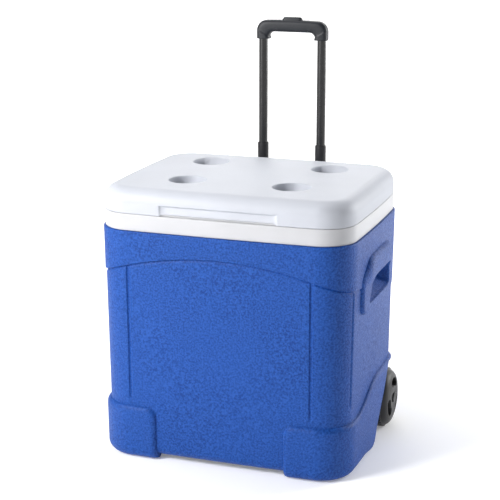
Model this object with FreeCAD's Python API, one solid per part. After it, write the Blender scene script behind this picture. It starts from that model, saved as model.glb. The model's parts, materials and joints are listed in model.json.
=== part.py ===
import FreeCAD, Part

import math
import os

from FreeCAD import Vector

# A wheeled cooler: a blue outer shell, a white tub with a rim collar, a hinged hollow lid with
# four can recesses, a telescopic pull handle behind the body and two wheels on a steel axle.
# Millimetres. X runs across, Y from the front (-) to the back (+), Z up from the ground.

# Driving sizes
WIDTH = 500.0                  # blue shell across its top, at the corners' tangent points
DEPTH = 401.0                  # blue shell front to back, measured the same way
SIDE_BOW = 5.3                 # the side walls bulge this much at their middle
FRONT_BOW = 4.9                # and the front and back walls this much
CORNER_RADIUS = 69.0
SHELL_TOP = 458.5
SHELL_BOTTOM = 8.0
DRAFT = 5.5                    # each wall draws in this much from the shell's top to the ground
WALL = 3.0                     # thickness of every moulded plastic wall
SEAM = 491.0                   # top of the white collar
LID_GAP = 0.5                  # closed lid to collar
LID_TOP = 538.8
TUBE_SPACING = 127.0           # pull handle tubes, centre to centre
TUBE_Y = 250.5
WHEEL_RADIUS = 61.3
WHEEL_Y = 131.0
WHEEL_OUTER_X = 264.0

# Shell details
BAND_INSET = 2.0               # the walls below the band are set back this much
ARCH_RADIUS = 696.0            # lower edge of the band: an arch across the front and back
ARCH_TOP = 414.6
BASE_ROUND = 24.0              # rounding where the walls turn under
PAD_PROUD = 8.0
PAD_INNER_X = 130.0
PAD_TOP = 112.0
GROOVE_X = 182.0
GROOVE_WIDTH = 4.5
GROOVE_DEPTH = 2.5
GROOVE_FOOT = 122.0
WELL_INNER_X = 224.0
WELL_PROFILE = [(9, -5), (24, 38), (67, 84), (98, 124), (114, 140), (230, 140), (230, -5)]
UNDERCUT_PROFILE = [(78, -5), (104, 78), (230, 78), (230, -5)]
GRIP_FRONT_Y = -70.0           # side grip pocket, front and back ends
GRIP_BACK_Y = 92.0
GRIP_FLOOR = 318.0
GRIP_ROOF = 366.0
GRIP_DEPTH = 28.0
BAR_TOP = 414.0
BAR_PROUD = 9.0

# Tub and collar
COLLAR_INSET = 3.7
TUB_INSET = 38.0
TUB_FLOOR = 55.0
TUB_LEDGE = 97.0               # the floor steps up over the axle and the wheels
TUB_LEDGE_Y = 58.0
SHELL_FLANGE = 14.0            # inward flange at the shell's top edge, from the outside

# Lid
LID_ROUND = 27.0
CUP_RADIUS = 36.3
CUP_DEPTH = 17.0
CUPS = [(-105.0, -81.0), (105.0, -81.0), (-126.0, 103.0), (126.0, 103.0)]
NOTCH_HALF_X = 125.0
NOTCH_DEPTH = 18.0
SCOOP_HALF_X = 114.5
SCOOP_HEIGHT = 21.0
SCOOP_LOW_DEPTH = 1.7          # the finger scoop's face leans back from this depth
SCOOP_HIGH_DEPTH = 5.6         # to this one under its ledge
PLUG_INSET = TUB_INSET + WALL + 5.0
PLUG_DEPTH = 12.0

# Lid hinges
HINGE_X = 157.0
HINGE_Y = 205.5
HINGE_Z = 512.0
KNUCKLE_RADIUS = 4.5
PIN_RADIUS = 2.0
RUNNING_FIT = 0.05             # radial clearance of a shaft in its hole

# Pull handle
OUTER_TUBE_RADIUS = 11.1
OUTER_TUBE_WALL = 0.9
INNER_TUBE_RADIUS = 9.3
INNER_TUBE_WALL = 1.2
COLLAR_RADIUS = 11.6
COLLAR_TOP = 557.6
COLLAR_BOTTOM = 500.0
OUTER_TUBE_TOP = 551.0
OUTER_TUBE_FOOT = 96.0
INNER_TUBE_FOOT = 400.0
LEG_FOOT = 777.3
GRIP_TOP = 817.0
GRIP_WIDTH = 152.0
GRIP_LEG = 26.0
GRIP_THICK = 26.0
GRIP_BAR = 25.0                # height of the grip's cross bar
BUTTON_LENGTH = 43.0
BUTTON_WIDTH = 15.0
BUTTON_PROUD = 6.0
ROD_RADIUS = 2.5
LOCK_PIN_RADIUS = 3.0
LOCK_PIN_RISE = 12.0           # lock pins above the inner tubes' feet
GRIP_CORNER = 18.0             # rounding of the grip's outer and inner corners
GRIP_INNER_CORNER = 12.0
ROD_WAY_DEPTH = 18.0           # floor of the yoke's channel, below the grip's top
YOKE_DEPTH = 11.5              # underside of the yoke, measured the same way

TOP_BRACKET_Z = 437.0          # middles of the two brackets that hold the outer tubes
LOW_BRACKET_Z = 112.0

# Wheels and axle
WHEEL_WIDTH = 35.0
AXLE_RADIUS = 5.0
TREAD_DEPTH = 2.0
TREAD_BLOCKS = 40
KIDNEY_COUNT = 3               # curved slots in each wheel's face
KIDNEY_TURN = -38.0
KIDNEY_HALF_ANGLE = 33.0
KIDNEY_RADIUS = 33.5
KIDNEY_HALF_WIDTH = 8.5
KIDNEY_DEPTH = 11.0

# Drain, through the back wall
DRAIN_X = -150.0
DRAIN_Z = 112.0
DRAIN_BORE = 9.0               # radius

SIDES = (("left", -1), ("right", 1))


def bowed_wire(z, inset=0.0, half_x=WIDTH / 2, half_y=DEPTH / 2, radius=CORNER_RADIUS):
    """Closed outline of four bowed walls and four corner arcs, all tangent to each other."""
    half_x -= inset
    half_y -= inset
    radius = max(radius - inset, 6.0)
    side_r = (half_y ** 2 + SIDE_BOW ** 2) / (2 * SIDE_BOW)
    front_r = (half_x ** 2 + FRONT_BOW ** 2) / (2 * FRONT_BOW)
    side_c = Vector(half_x + SIDE_BOW - side_r, 0, z)
    front_c = Vector(0, half_y + FRONT_BOW - front_r, z)
    reach_side = side_r - radius
    reach_front = front_r - radius
    between = front_c - side_c
    gap = between.Length
    along = (reach_side ** 2 - reach_front ** 2 + gap ** 2) / (2 * gap)
    off = math.sqrt(reach_side ** 2 - along ** 2)
    unit = between * (1 / gap)
    normal = Vector(-unit.y, unit.x, 0)
    corner = side_c + unit * along + normal * off
    if corner.x < 0 or corner.y < 0:
        corner = side_c + unit * along - normal * off
    to_side = (corner - side_c).normalize()
    to_front = (corner - front_c).normalize()
    side_end = side_c + to_side * side_r
    front_end = front_c + to_front * front_r
    corner_mid = corner + (to_side + to_front).normalize() * radius

    def at(point, sx, sy):
        return Vector(point.x * sx, point.y * sy, z)

    side_mid = Vector(half_x + SIDE_BOW, 0, z)
    front_mid = Vector(0, half_y + FRONT_BOW, z)
    arcs = []
    for start, middle, end in (
        (at(side_end, 1, -1), side_mid, at(side_end, 1, 1)),
        (at(side_end, 1, 1), at(corner_mid, 1, 1), at(front_end, 1, 1)),
        (at(front_end, 1, 1), front_mid, at(front_end, -1, 1)),
        (at(front_end, -1, 1), at(corner_mid, -1, 1), at(side_end, -1, 1)),
        (at(side_end, -1, 1), at(side_mid, -1, 1), at(side_end, -1, -1)),
        (at(side_end, -1, -1), at(corner_mid, -1, -1), at(front_end, -1, -1)),
        (at(front_end, -1, -1), at(front_mid, 1, -1), at(front_end, 1, -1)),
        (at(front_end, 1, -1), at(corner_mid, 1, -1), at(side_end, 1, -1)),
    ):
        arcs.append(Part.Arc(start, middle, end).toShape())
    return Part.Wire(arcs)


def draft(z):
    """How far the shell's walls have drawn in at this height."""
    return DRAFT * (SHELL_TOP - z) / SHELL_TOP


def stack(sections):
    """Solid through (height, inset) sections, straight between them."""
    wires = [bowed_wire(z, inset) for z, inset in sections]
    return Part.makeLoft(wires, True, True)


def box(x0, x1, y0, y1, z0, z1):
    return Part.makeBox(x1 - x0, y1 - y0, z1 - z0, Vector(x0, y0, z0))


def cylinder(radius, length, base, axis):
    return Part.makeCylinder(radius, length, base, axis)


def x_prism(profile, x0, x1):
    """Prism along X from a closed (y, z) polygon."""
    points = [Vector(x0, y, z) for y, z in profile]
    face = Part.Face(Part.makePolygon(points + points[:1]))
    return face.extrude(Vector(x1 - x0, 0, 0))


def y_prism(profile, y0, y1):
    """Prism along Y from a closed (x, z) polygon."""
    points = [Vector(x, y0, z) for x, z in profile]
    face = Part.Face(Part.makePolygon(points + points[:1]))
    return face.extrude(Vector(0, y1 - y0, 0))


def slot_prism(half_length, half_width, z0, z1, y=0.0):
    """Vertical prism with a rounded-end outline, long in X, centred at this y."""
    straight = half_length - half_width
    bar = box(-straight, straight, y - half_width, y + half_width, z0, z1)
    for x in (-straight, straight):
        bar = bar.fuse(cylinder(half_width, z1 - z0, Vector(x, y, z0), Vector(0, 0, 1)))
    return bar.removeSplitter()


def round_under(bottom, radius, inset, steps=4):
    """Sections of a quarter round where a wall turns under, from the ground face upwards."""
    rows = []
    for i in range(steps + 1):
        angle = math.radians(90 * i / steps)
        z = bottom + radius * (1 - math.cos(angle))
        rows.append((z, draft(z) + inset + radius * (1 - math.sin(angle))))
    return rows


def wall_y(x, inset):
    """Where the back wall stands at this x, on its bow."""
    half_x = WIDTH / 2 - inset
    front_r = (half_x ** 2 + FRONT_BOW ** 2) / (2 * FRONT_BOW)
    return DEPTH / 2 - inset + FRONT_BOW - front_r + math.sqrt(front_r ** 2 - x ** 2)


def mirrored(shape):
    return shape.mirror(Vector(0, 0, 0), Vector(1, 0, 0))


def both_sides(shape):
    return shape.fuse(mirrored(shape))


def centre_shift():
    """From the body's centre to the middle of the whole object's depth."""
    front_reach = wall_y(PAD_INNER_X, BAND_INSET - PAD_PROUD) - draft(PAD_TOP)
    back_reach = TUBE_Y + GRIP_THICK / 2
    return (front_reach - back_reach) / 2


def save(name, shape):
    """Write one node, moved so that the whole object is centred front to back."""
    placed = shape.copy()
    placed.translate(Vector(0, centre_shift(), 0))
    placed.exportStep("parts/" + name + ".step")
    print(name, "solids", len(placed.Solids), "valid", placed.isValid(), "cm3", round(placed.Volume / 1000))


# ---------------------------------------------------------------- outer shell

def pad_form(grow):
    """Proud lower part of the walls: corner feet and the fender line that rises to the back."""
    inset = BAND_INSET - PAD_PROUD - grow
    form = stack(round_under(0.0 - grow, BASE_ROUND, inset) + [(170.0, draft(170.0) + inset)])
    edge = PAD_INNER_X - grow
    top = PAD_TOP + grow
    side_line = [(-260, top), (-118, top), (-92, top + 3), (-62, top + 11), (-34, top + 24),
                 (-8, top + 36), (18, top + 41), (40, top + 41), (260, top + 41), (260, -9), (-260, -9)]
    keep = x_prism(side_line, edge, 300)
    return form.common(both_sides(keep))


def band_form():
    """Proud band round the shell's top, arched over the front and the back."""
    form = stack([(330.0, draft(330.0)), (SHELL_TOP, 0.0)])
    arch = cylinder(ARCH_RADIUS, 600, Vector(0, -300, ARCH_TOP - ARCH_RADIUS), Vector(0, 1, 0))
    return form.cut(arch)


def grip_bars(grow):
    """Thick carrying bars that bulge from the side walls above the grip pockets."""
    top = BAR_TOP + grow
    low = GRIP_ROOF - 4
    wall_x = WIDTH / 2 - 4
    out = WIDTH / 2 + SIDE_BOW - 2 + BAR_PROUD + grow
    outline = [(wall_x, low), (out - 8, low), (out - 2, low + 8), (out, low + 20), (out - 3, top - 14),
               (wall_x + 6, top), (wall_x, top)]
    bar = y_prism(outline, GRIP_FRONT_Y - 14, GRIP_BACK_Y + 14)
    return both_sides(bar)


def grip_pockets(grow):
    """Hand pockets in the side walls, rising behind the carrying bar."""
    mouth = WIDTH / 2 + 20
    deep = WIDTH / 2 - GRIP_DEPTH - grow
    floor = GRIP_FLOOR - grow
    top = GRIP_ROOF + 24 + grow
    roof = GRIP_ROOF + grow
    outline = [(mouth, floor), (mouth - 26, floor), (deep, floor + 28), (deep, top),
               (deep + 16 + 2 * grow, top), (deep + 20 + 2 * grow, roof), (mouth, roof)]
    return both_sides(y_prism(outline, GRIP_FRONT_Y - grow, GRIP_BACK_Y + grow))


def wheel_wells(grow):
    """Rear corner wells, open to the side, the back and the ground."""
    front = [(y - grow if y < 230 else y, z + grow) for y, z in WELL_PROFILE]
    return both_sides(x_prism(front, WELL_INNER_X - grow, 300))


def axle_undercut(grow):
    """Raised underside at the back that leaves room for the axle."""
    front = [(y - grow if y < 230 else y, z + grow) for y, z in UNDERCUT_PROFILE]
    return x_prism(front, -300, 300)


def grooves():
    """Shallow upright grooves that frame the front, back and side panels."""
    half = GROOVE_WIDTH / 2
    cuts = []
    for x in (-GROOVE_X, GROOVE_X):
        reach = DEPTH / 2 - BAND_INSET - GROOVE_DEPTH + 1.0
        for y0, y1 in ((-300, -reach), (reach, 300)):
            cuts.append(box(x - half, x + half, y0, y1, GROOVE_FOOT, 384.0))
    side_reach = WIDTH / 2 - BAND_INSET - GROOVE_DEPTH + 1.5
    cuts.append(box(side_reach, 300, -150 - half, -150 + half, 140, 366))
    cuts.append(box(-300, -side_reach, -150 - half, -150 + half, 140, 366))
    return Part.makeCompound(cuts)


def wall_form(inset, bottom, top):
    return stack(round_under(bottom, BASE_ROUND - inset, inset) + [(top, draft(top) + inset)])


def shell_cavity():
    """Everything inside the shell's wall, up to the flange at its top."""
    inset = BAND_INSET + WALL
    form = wall_form(inset, SHELL_BOTTOM + WALL, SHELL_TOP - WALL)
    form = form.cut(wheel_wells(WALL)).cut(axle_undercut(WALL))
    return form.cut(grip_pockets(WALL))


def outer_shell(cavity):
    outside = wall_form(BAND_INSET, SHELL_BOTTOM, SHELL_TOP).fuse(band_form())
    outside = outside.fuse(pad_form(0.0)).fuse(grip_bars(0.0))
    outside = outside.cut(wheel_wells(0.0)).cut(axle_undercut(0.0)).cut(grip_pockets(0.0))
    outside = outside.cut(grooves())
    mouth = stack([(SHELL_TOP - WALL - 1, SHELL_FLANGE), (SHELL_TOP + 1, SHELL_FLANGE)])
    return outside.cut(cavity).cut(mouth)


# ---------------------------------------------------------------- tub and insulation

def tub_form(inset, floor, ledge, top):
    """Inside or outside surface of the tub, with its stepped floor."""
    form = stack([(floor, inset + 4), (floor + 8, inset + 1), (top, inset)])
    step = box(-300, 300, TUB_LEDGE_Y - (inset - TUB_INSET), 300, floor - 5, ledge)
    return form.cut(step)


def inner_liner(tub_outside):
    collar = stack([(SHELL_TOP, COLLAR_INSET), (SEAM, COLLAR_INSET)])
    channel = stack([(SHELL_TOP - 1, COLLAR_INSET + WALL), (SEAM - WALL, COLLAR_INSET + WALL)])
    rim = collar.cut(channel)
    inside = tub_form(TUB_INSET + WALL, TUB_FLOOR + WALL, TUB_LEDGE + WALL, SEAM + 1)
    return rim.fuse(tub_outside).cut(inside)


def body_foam(cavity, tub_outside):
    column = stack([(SHELL_TOP - WALL, SHELL_FLANGE), (SHELL_TOP, SHELL_FLANGE)])
    crown = stack([(SHELL_TOP, COLLAR_INSET + WALL), (SEAM - WALL, COLLAR_INSET + WALL)])
    over_flange = stack([(SHELL_TOP, COLLAR_INSET + WALL), (SHELL_TOP + 0.5, COLLAR_INSET + WALL)])
    return cavity.fuse(column).fuse(crown.cut(over_flange)).fuse(over_flange).cut(tub_outside)


# ---------------------------------------------------------------- lid

def lid_form(grow):
    """The lid's outside (grow 0) or, with grow = WALL, the space inside its wall."""
    bottom = SEAM + LID_GAP
    rows = [(bottom - (1 if grow else 0), COLLAR_INSET + grow)]
    steps = 5
    for i in range(steps + 1):
        angle = math.radians(90 * i / steps)
        z = LID_TOP - grow - LID_ROUND * (1 - math.sin(angle))
        rows.append((z, COLLAR_INSET + grow + LID_ROUND * (1 - math.cos(angle))))
    form = stack(rows)
    for x, y in CUPS:
        cup_floor = LID_TOP - CUP_DEPTH - grow
        form = form.cut(cylinder(CUP_RADIUS + grow, 60, Vector(x, y, cup_floor), Vector(0, 0, 1)))
    rear = DEPTH / 2 + FRONT_BOW - COLLAR_INSET - NOTCH_DEPTH - grow
    form = form.cut(box(-NOTCH_HALF_X - grow, NOTCH_HALF_X + grow, rear, 300, bottom - 5, 600))
    front = -(DEPTH / 2 + FRONT_BOW - COLLAR_INSET)
    clear = front - 20
    low = front + SCOOP_LOW_DEPTH + grow
    high = front + SCOOP_HIGH_DEPTH + grow
    ledge = bottom + SCOOP_HEIGHT + grow
    scoop = [(clear, bottom - 5), (low, bottom - 5), (low, bottom), (high, ledge - 1), (clear, ledge)]
    return form.cut(x_prism(scoop, -SCOOP_HALF_X - grow, SCOOP_HALF_X + grow))


def lid_panel(inside):
    """Inner face of the lid, with the shallow plug that drops into the tub's mouth."""
    bottom = SEAM + LID_GAP
    tray = stack([(bottom, 0.0), (bottom + WALL, 0.0)]).common(inside)
    plug = stack([(bottom - PLUG_DEPTH, PLUG_INSET + 2), (bottom + WALL, PLUG_INSET)])
    inner_inset = PLUG_INSET + WALL
    hollow = stack([(bottom - PLUG_DEPTH + WALL, inner_inset + 2), (bottom + WALL + 1, inner_inset)])
    return tray.fuse(plug).cut(hollow)


def lid_foam(inside, panel):
    bottom = SEAM + LID_GAP
    over = inside.common(stack([(bottom + WALL, 0.0), (LID_TOP, 0.0)]))
    inner_inset = PLUG_INSET + WALL
    fill = stack([(bottom - PLUG_DEPTH + WALL, inner_inset + 2), (bottom + WALL, inner_inset)])
    return over.fuse(fill).cut(panel)


def knuckle(x0, x1, leaf_z0, leaf_z1, leaf_y):
    """One solid hinge knuckle on the hinge axis with the leaf that holds it."""
    barrel = cylinder(KNUCKLE_RADIUS, x1 - x0, Vector(x0, HINGE_Y, HINGE_Z), Vector(1, 0, 0))
    return barrel.fuse(box(x0, x1, leaf_y, HINGE_Y, leaf_z0, leaf_z1))


def hinge_base(centre_x, collar):
    """Body half of a hinge: a plate on the collar with two outer knuckles."""
    back = wall_y(centre_x, COLLAR_INSET)
    along = Vector(1, 0, 0)
    plate = box(centre_x - 24, centre_x + 24, back - 1, back + 4.5, SHELL_TOP + 4, SEAM - 1)
    for side in (-1, 1):
        x0 = centre_x + side * 17 - 7
        arm = box(x0, x0 + 14, back + 1.6, HINGE_Y + 3.2, SEAM - 6, HINGE_Z - 1)
        arm = arm.fuse(cylinder(KNUCKLE_RADIUS, 14, Vector(x0, HINGE_Y, HINGE_Z), along))
        plate = plate.fuse(arm)
    plate = plate.cut(cylinder(PIN_RADIUS, 80, Vector(centre_x - 40, HINGE_Y, HINGE_Z), along))
    return plate.cut(collar)


def hinge_leaf(centre_x, lid):
    """Lid half of a hinge: the middle knuckle and its leaf on the lid's back wall."""
    back = wall_y(centre_x, COLLAR_INSET)
    leaf = knuckle(centre_x - 9.5, centre_x + 9.5, HINGE_Z - 3, HINGE_Z + 3, back - 6)
    plate = box(centre_x - 9.5, centre_x + 9.5, back - 3, back + 2.5, SEAM + 6, HINGE_Z + 2)
    bore_start = Vector(centre_x - 20, HINGE_Y, HINGE_Z)
    bore = cylinder(PIN_RADIUS + RUNNING_FIT, 40, bore_start, Vector(1, 0, 0))
    return leaf.fuse(plate).cut(bore).cut(lid)


def hinge_pin(centre_x):
    return cylinder(PIN_RADIUS, 50, Vector(centre_x - 25, HINGE_Y, HINGE_Z), Vector(1, 0, 0))


# ---------------------------------------------------------------- pull handle

def outer_tube(x):
    up = Vector(0, 0, 1)
    length = OUTER_TUBE_TOP - OUTER_TUBE_FOOT
    tube = cylinder(OUTER_TUBE_RADIUS, length, Vector(x, TUBE_Y, OUTER_TUBE_FOOT), up)
    bore_radius = OUTER_TUBE_RADIUS - OUTER_TUBE_WALL
    return tube.cut(cylinder(bore_radius, 600, Vector(x, TUBE_Y, OUTER_TUBE_FOOT - 5), up))


def tube_collar(x):
    """Plastic cap on the outer tube's mouth, with the guide bush for the inner tube."""
    up = Vector(0, 0, 1)
    foot = Vector(x, TUBE_Y, COLLAR_BOTTOM)
    cap = cylinder(COLLAR_RADIUS, COLLAR_TOP - COLLAR_BOTTOM, foot, up)
    seat = cylinder(OUTER_TUBE_RADIUS, OUTER_TUBE_TOP - COLLAR_BOTTOM, foot, up)
    bush_foot = Vector(x, TUBE_Y, OUTER_TUBE_TOP - 30)
    bush = cylinder(OUTER_TUBE_RADIUS - OUTER_TUBE_WALL, 30, bush_foot, up)
    bore = cylinder(INNER_TUBE_RADIUS + RUNNING_FIT, 200, Vector(x, TUBE_Y, COLLAR_BOTTOM - 50), up)
    return cap.cut(seat).fuse(bush).cut(bore)


def inner_tube(x, sign):
    up = Vector(0, 0, 1)
    length = GRIP_TOP - 24 - INNER_TUBE_FOOT
    tube = cylinder(INNER_TUBE_RADIUS, length, Vector(x, TUBE_Y, INNER_TUBE_FOOT), up)
    bore_radius = INNER_TUBE_RADIUS - INNER_TUBE_WALL
    bore = cylinder(bore_radius, 600, Vector(x, TUBE_Y, INNER_TUBE_FOOT - 5), up)
    pin_middle = Vector(x, TUBE_Y, INNER_TUBE_FOOT + LOCK_PIN_RISE)
    window = cylinder(LOCK_PIN_RADIUS + RUNNING_FIT, 20, pin_middle, Vector(sign, 0, 0))
    return tube.cut(bore).cut(window)


def guide_plug(x, sign):
    """Plug in the inner tube's foot that guides its lock pin."""
    up = Vector(0, 0, 1)
    foot = INNER_TUBE_FOOT
    plug = cylinder(INNER_TUBE_RADIUS - INNER_TUBE_WALL, 24, Vector(x, TUBE_Y, foot), up)
    pin_start = Vector(x - sign * 5, TUBE_Y, foot + LOCK_PIN_RISE)
    pin_path = cylinder(LOCK_PIN_RADIUS + RUNNING_FIT, 20, pin_start, Vector(sign, 0, 0))
    rod_path = cylinder(ROD_RADIUS + 0.3, 30, Vector(x, TUBE_Y, foot + 15.5), up)
    return plug.cut(pin_path).cut(rod_path)


def lock_pin(x, sign):
    """Spring catch pin at the inner tube's foot, drawn level with the outer tube's bore."""
    start = x - sign * 1.0
    reach = OUTER_TUBE_RADIUS - OUTER_TUBE_WALL
    length = math.sqrt(reach ** 2 - LOCK_PIN_RADIUS ** 2) - 0.25 + 1.0
    base = Vector(start, TUBE_Y, INNER_TUBE_FOOT + LOCK_PIN_RISE)
    return cylinder(LOCK_PIN_RADIUS, length, base, Vector(sign, 0, 0))


def grip_arch(half, top, corner):
    """Block over the handle's tubes with its two upper corners rounded."""
    bend = corner * (1 - math.sqrt(0.5))

    def at(x, z):
        return Vector(x, TUBE_Y - GRIP_THICK / 2, z)

    edges = [
        Part.LineSegment(at(half, LEG_FOOT), at(half, top - corner)),
        Part.Arc(at(half, top - corner), at(half - bend, top - bend), at(half - corner, top)),
        Part.LineSegment(at(half - corner, top), at(corner - half, top)),
        Part.Arc(at(corner - half, top), at(bend - half, top - bend), at(-half, top - corner)),
        Part.LineSegment(at(-half, top - corner), at(-half, LEG_FOOT)),
        Part.LineSegment(at(-half, LEG_FOOT), at(half, LEG_FOOT)),
    ]
    outline = Part.Wire([edge.toShape() for edge in edges])
    return Part.Face(outline).extrude(Vector(0, GRIP_THICK, 0))


def grip():
    """Hand grip: a thick rounded cross bar with two short legs over the tubes."""
    half = GRIP_WIDTH / 2
    body = grip_arch(half, GRIP_TOP, GRIP_CORNER)
    body = body.cut(grip_arch(half - GRIP_LEG, GRIP_TOP - GRIP_BAR, GRIP_INNER_CORNER))
    pocket_half = BUTTON_LENGTH / 2 + 0.4
    top_pocket = slot_prism(pocket_half, BUTTON_WIDTH / 2 + 0.4, GRIP_TOP - 16, GRIP_TOP + 5, TUBE_Y)
    reach = TUBE_SPACING / 2 + 4
    rod_way = box(-reach, reach, TUBE_Y - 4, TUBE_Y + 4, GRIP_TOP - ROD_WAY_DEPTH, GRIP_TOP - 7)
    body = body.cut(top_pocket).cut(rod_way)
    up = Vector(0, 0, 1)
    for x in (-TUBE_SPACING / 2, TUBE_SPACING / 2):
        socket_height = GRIP_TOP - 24 - LEG_FOOT
        body = body.cut(cylinder(INNER_TUBE_RADIUS, socket_height, Vector(x, TUBE_Y, LEG_FOOT), up))
        body = body.cut(cylinder(ROD_RADIUS + 1, 20, Vector(x, TUBE_Y, GRIP_TOP - 30), up))
    return body


def release_button():
    """Oval push button in the grip's top."""
    half = BUTTON_LENGTH / 2
    wide = BUTTON_WIDTH / 2
    stem = slot_prism(half, wide, GRIP_TOP - 7, GRIP_TOP + BUTTON_PROUD - 2, TUBE_Y)
    crown = slot_prism(half - 1.5, wide - 1.5, GRIP_TOP + BUTTON_PROUD - 2, GRIP_TOP + BUTTON_PROUD, TUBE_Y)
    return stem.fuse(crown)


def release_yoke():
    """Cross bar under the button with a push rod down each tube."""
    reach = TUBE_SPACING / 2 + 3
    bar = box(-reach, reach, TUBE_Y - 3, TUBE_Y + 3, GRIP_TOP - YOKE_DEPTH, GRIP_TOP - 7)
    for x in (-TUBE_SPACING / 2, TUBE_SPACING / 2):
        low = INNER_TUBE_FOOT + 20
        bar = bar.fuse(cylinder(ROD_RADIUS, GRIP_TOP - 9 - low, Vector(x, TUBE_Y, low), Vector(0, 0, 1)))
    return bar


def button_spring():
    """Return spring under the middle of the yoke, as a plain sleeve of its outer size."""
    up = Vector(0, 0, 1)
    sleeve = cylinder(2.8, ROD_WAY_DEPTH - YOKE_DEPTH, Vector(0, TUBE_Y, GRIP_TOP - ROD_WAY_DEPTH), up)
    return sleeve.cut(cylinder(1.8, 20, Vector(0, TUBE_Y, GRIP_TOP - ROD_WAY_DEPTH - 1), up))


def tube_bracket(middle, half_height, collar_forms):
    """Plastic block that ties both outer tubes to the body's back wall."""
    z0 = middle - half_height
    z1 = middle + half_height
    half = TUBE_SPACING / 2 + 20
    plate = box(-half - 12, half + 12, 192, wall_y(0, 0) + 5, z0, z1)
    for x in (-TUBE_SPACING / 2, TUBE_SPACING / 2):
        arm = box(x - GRIP_THICK / 2, x + GRIP_THICK / 2, 195, TUBE_Y, z0 + 3, z1 - 3)
        arm = arm.fuse(cylinder(GRIP_THICK / 2, z1 - z0 - 6, Vector(x, TUBE_Y, z0 + 3), Vector(0, 0, 1)))
        plate = plate.fuse(arm)
    for x in (-TUBE_SPACING / 2, TUBE_SPACING / 2):
        plate = plate.cut(cylinder(OUTER_TUBE_RADIUS, 200, Vector(x, TUBE_Y, z0 - 20), Vector(0, 0, 1)))
    for form in collar_forms:
        plate = plate.cut(form)
    return plate.cut(bracket_screw_set(middle))


def bracket_screw_set(screw_z):
    """Screws through a tube bracket's ears into the shell."""
    screws = []
    for x in (-TUBE_SPACING / 2 - 25, 0, TUBE_SPACING / 2 + 25):
        head_y = wall_y(0, 0) + 5
        shank = cylinder(2.2, 16, Vector(x, head_y - 16, screw_z), Vector(0, 1, 0))
        head = cylinder(4.5, 2.5, Vector(x, head_y, screw_z), Vector(0, 1, 0))
        screws.append(shank.fuse(head))
    return Part.makeCompound(screws)


# ---------------------------------------------------------------- wheels and axle

def axle():
    length = 2 * (WHEEL_OUTER_X - 6)
    return cylinder(AXLE_RADIUS, length, Vector(-length / 2, WHEEL_Y, WHEEL_RADIUS), Vector(1, 0, 0))


def kidney(turn):
    """Curved blind slot in the right wheel's face, centred at this many degrees up from the back."""
    start = Vector(WHEEL_OUTER_X - KIDNEY_DEPTH, WHEEL_Y, WHEEL_RADIUS)
    ring = cylinder(KIDNEY_RADIUS + KIDNEY_HALF_WIDTH, 30, start, Vector(1, 0, 0))
    ring = ring.cut(cylinder(KIDNEY_RADIUS - KIDNEY_HALF_WIDTH, 30, start, Vector(1, 0, 0)))
    wedge = [(WHEEL_Y, WHEEL_RADIUS)]
    for edge in (-KIDNEY_HALF_ANGLE, KIDNEY_HALF_ANGLE):
        angle = math.radians(turn + edge)
        wedge.append((WHEEL_Y + 80 * math.cos(angle), WHEEL_RADIUS + 80 * math.sin(angle)))
    return ring.common(x_prism(wedge, start.x, WHEEL_OUTER_X + 10))


def wheel():
    """Right wheel: treaded tyre, recessed slots in a domed face and a running bore."""
    outer = WHEEL_OUTER_X
    inner = outer - WHEEL_WIDTH
    r = WHEEL_RADIUS
    profile = [(0, inner), (r - 4, inner), (r, inner + 4), (r, outer - 12), (r - 4, outer - 5),
               (r - 14, outer - 2), (30, outer), (14, outer - 1), (13, outer - 4), (0, outer - 4)]
    points = [Vector(x, WHEEL_Y, WHEEL_RADIUS + radius) for radius, x in profile]
    disc = Part.Face(Part.makePolygon(points + points[:1])).revolve(
        Vector(0, WHEEL_Y, WHEEL_RADIUS), Vector(1, 0, 0), 360)
    if disc.Volume < 0:
        disc.reverse()
    centre = Vector(inner - 1, WHEEL_Y, WHEEL_RADIUS)
    disc = disc.cut(cylinder(AXLE_RADIUS + RUNNING_FIT, 60, centre, Vector(1, 0, 0)))
    back = cylinder(r - 9, 20, centre, Vector(1, 0, 0)).cut(cylinder(12, 40, centre, Vector(1, 0, 0)))
    disc = disc.cut(back)
    for i in range(KIDNEY_COUNT):
        disc = disc.cut(kidney(360 / KIDNEY_COUNT * i + KIDNEY_TURN))
    grooves_cut = []
    for i in range(TREAD_BLOCKS):
        cut = box(inner + 4, outer - 10, WHEEL_Y - 1.2, WHEEL_Y + 1.2, 2 * r - TREAD_DEPTH, 2 * r + 4)
        cut.rotate(Vector(outer - 20, WHEEL_Y, 2 * r), Vector(0, 0, 1), 28)
        cut.rotate(Vector(0, WHEEL_Y, WHEEL_RADIUS), Vector(1, 0, 0), 360 / TREAD_BLOCKS * i)
        grooves_cut.append(cut)
    return disc.cut(Part.makeCompound(grooves_cut))


def push_nut(sign):
    """Pressed steel cap that keeps a wheel on the axle."""
    start = Vector(sign * (WHEEL_OUTER_X - 3.5), WHEEL_Y, WHEEL_RADIUS)
    cap = cylinder(9.5, 5.0, start, Vector(sign, 0, 0))
    seat = cylinder(AXLE_RADIUS, 5.0, start - Vector(sign * 2.5, 0, 0), Vector(sign, 0, 0))
    return cap.cut(seat)


def washer(sign):
    start = Vector(sign * (WHEEL_OUTER_X - WHEEL_WIDTH - 0.5), WHEEL_Y, WHEEL_RADIUS)
    ring = cylinder(9.0, 1.6, start, Vector(-sign, 0, 0))
    return ring.cut(cylinder(AXLE_RADIUS, 10, start + Vector(sign * 2, 0, 0), Vector(-sign, 0, 0)))


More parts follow.
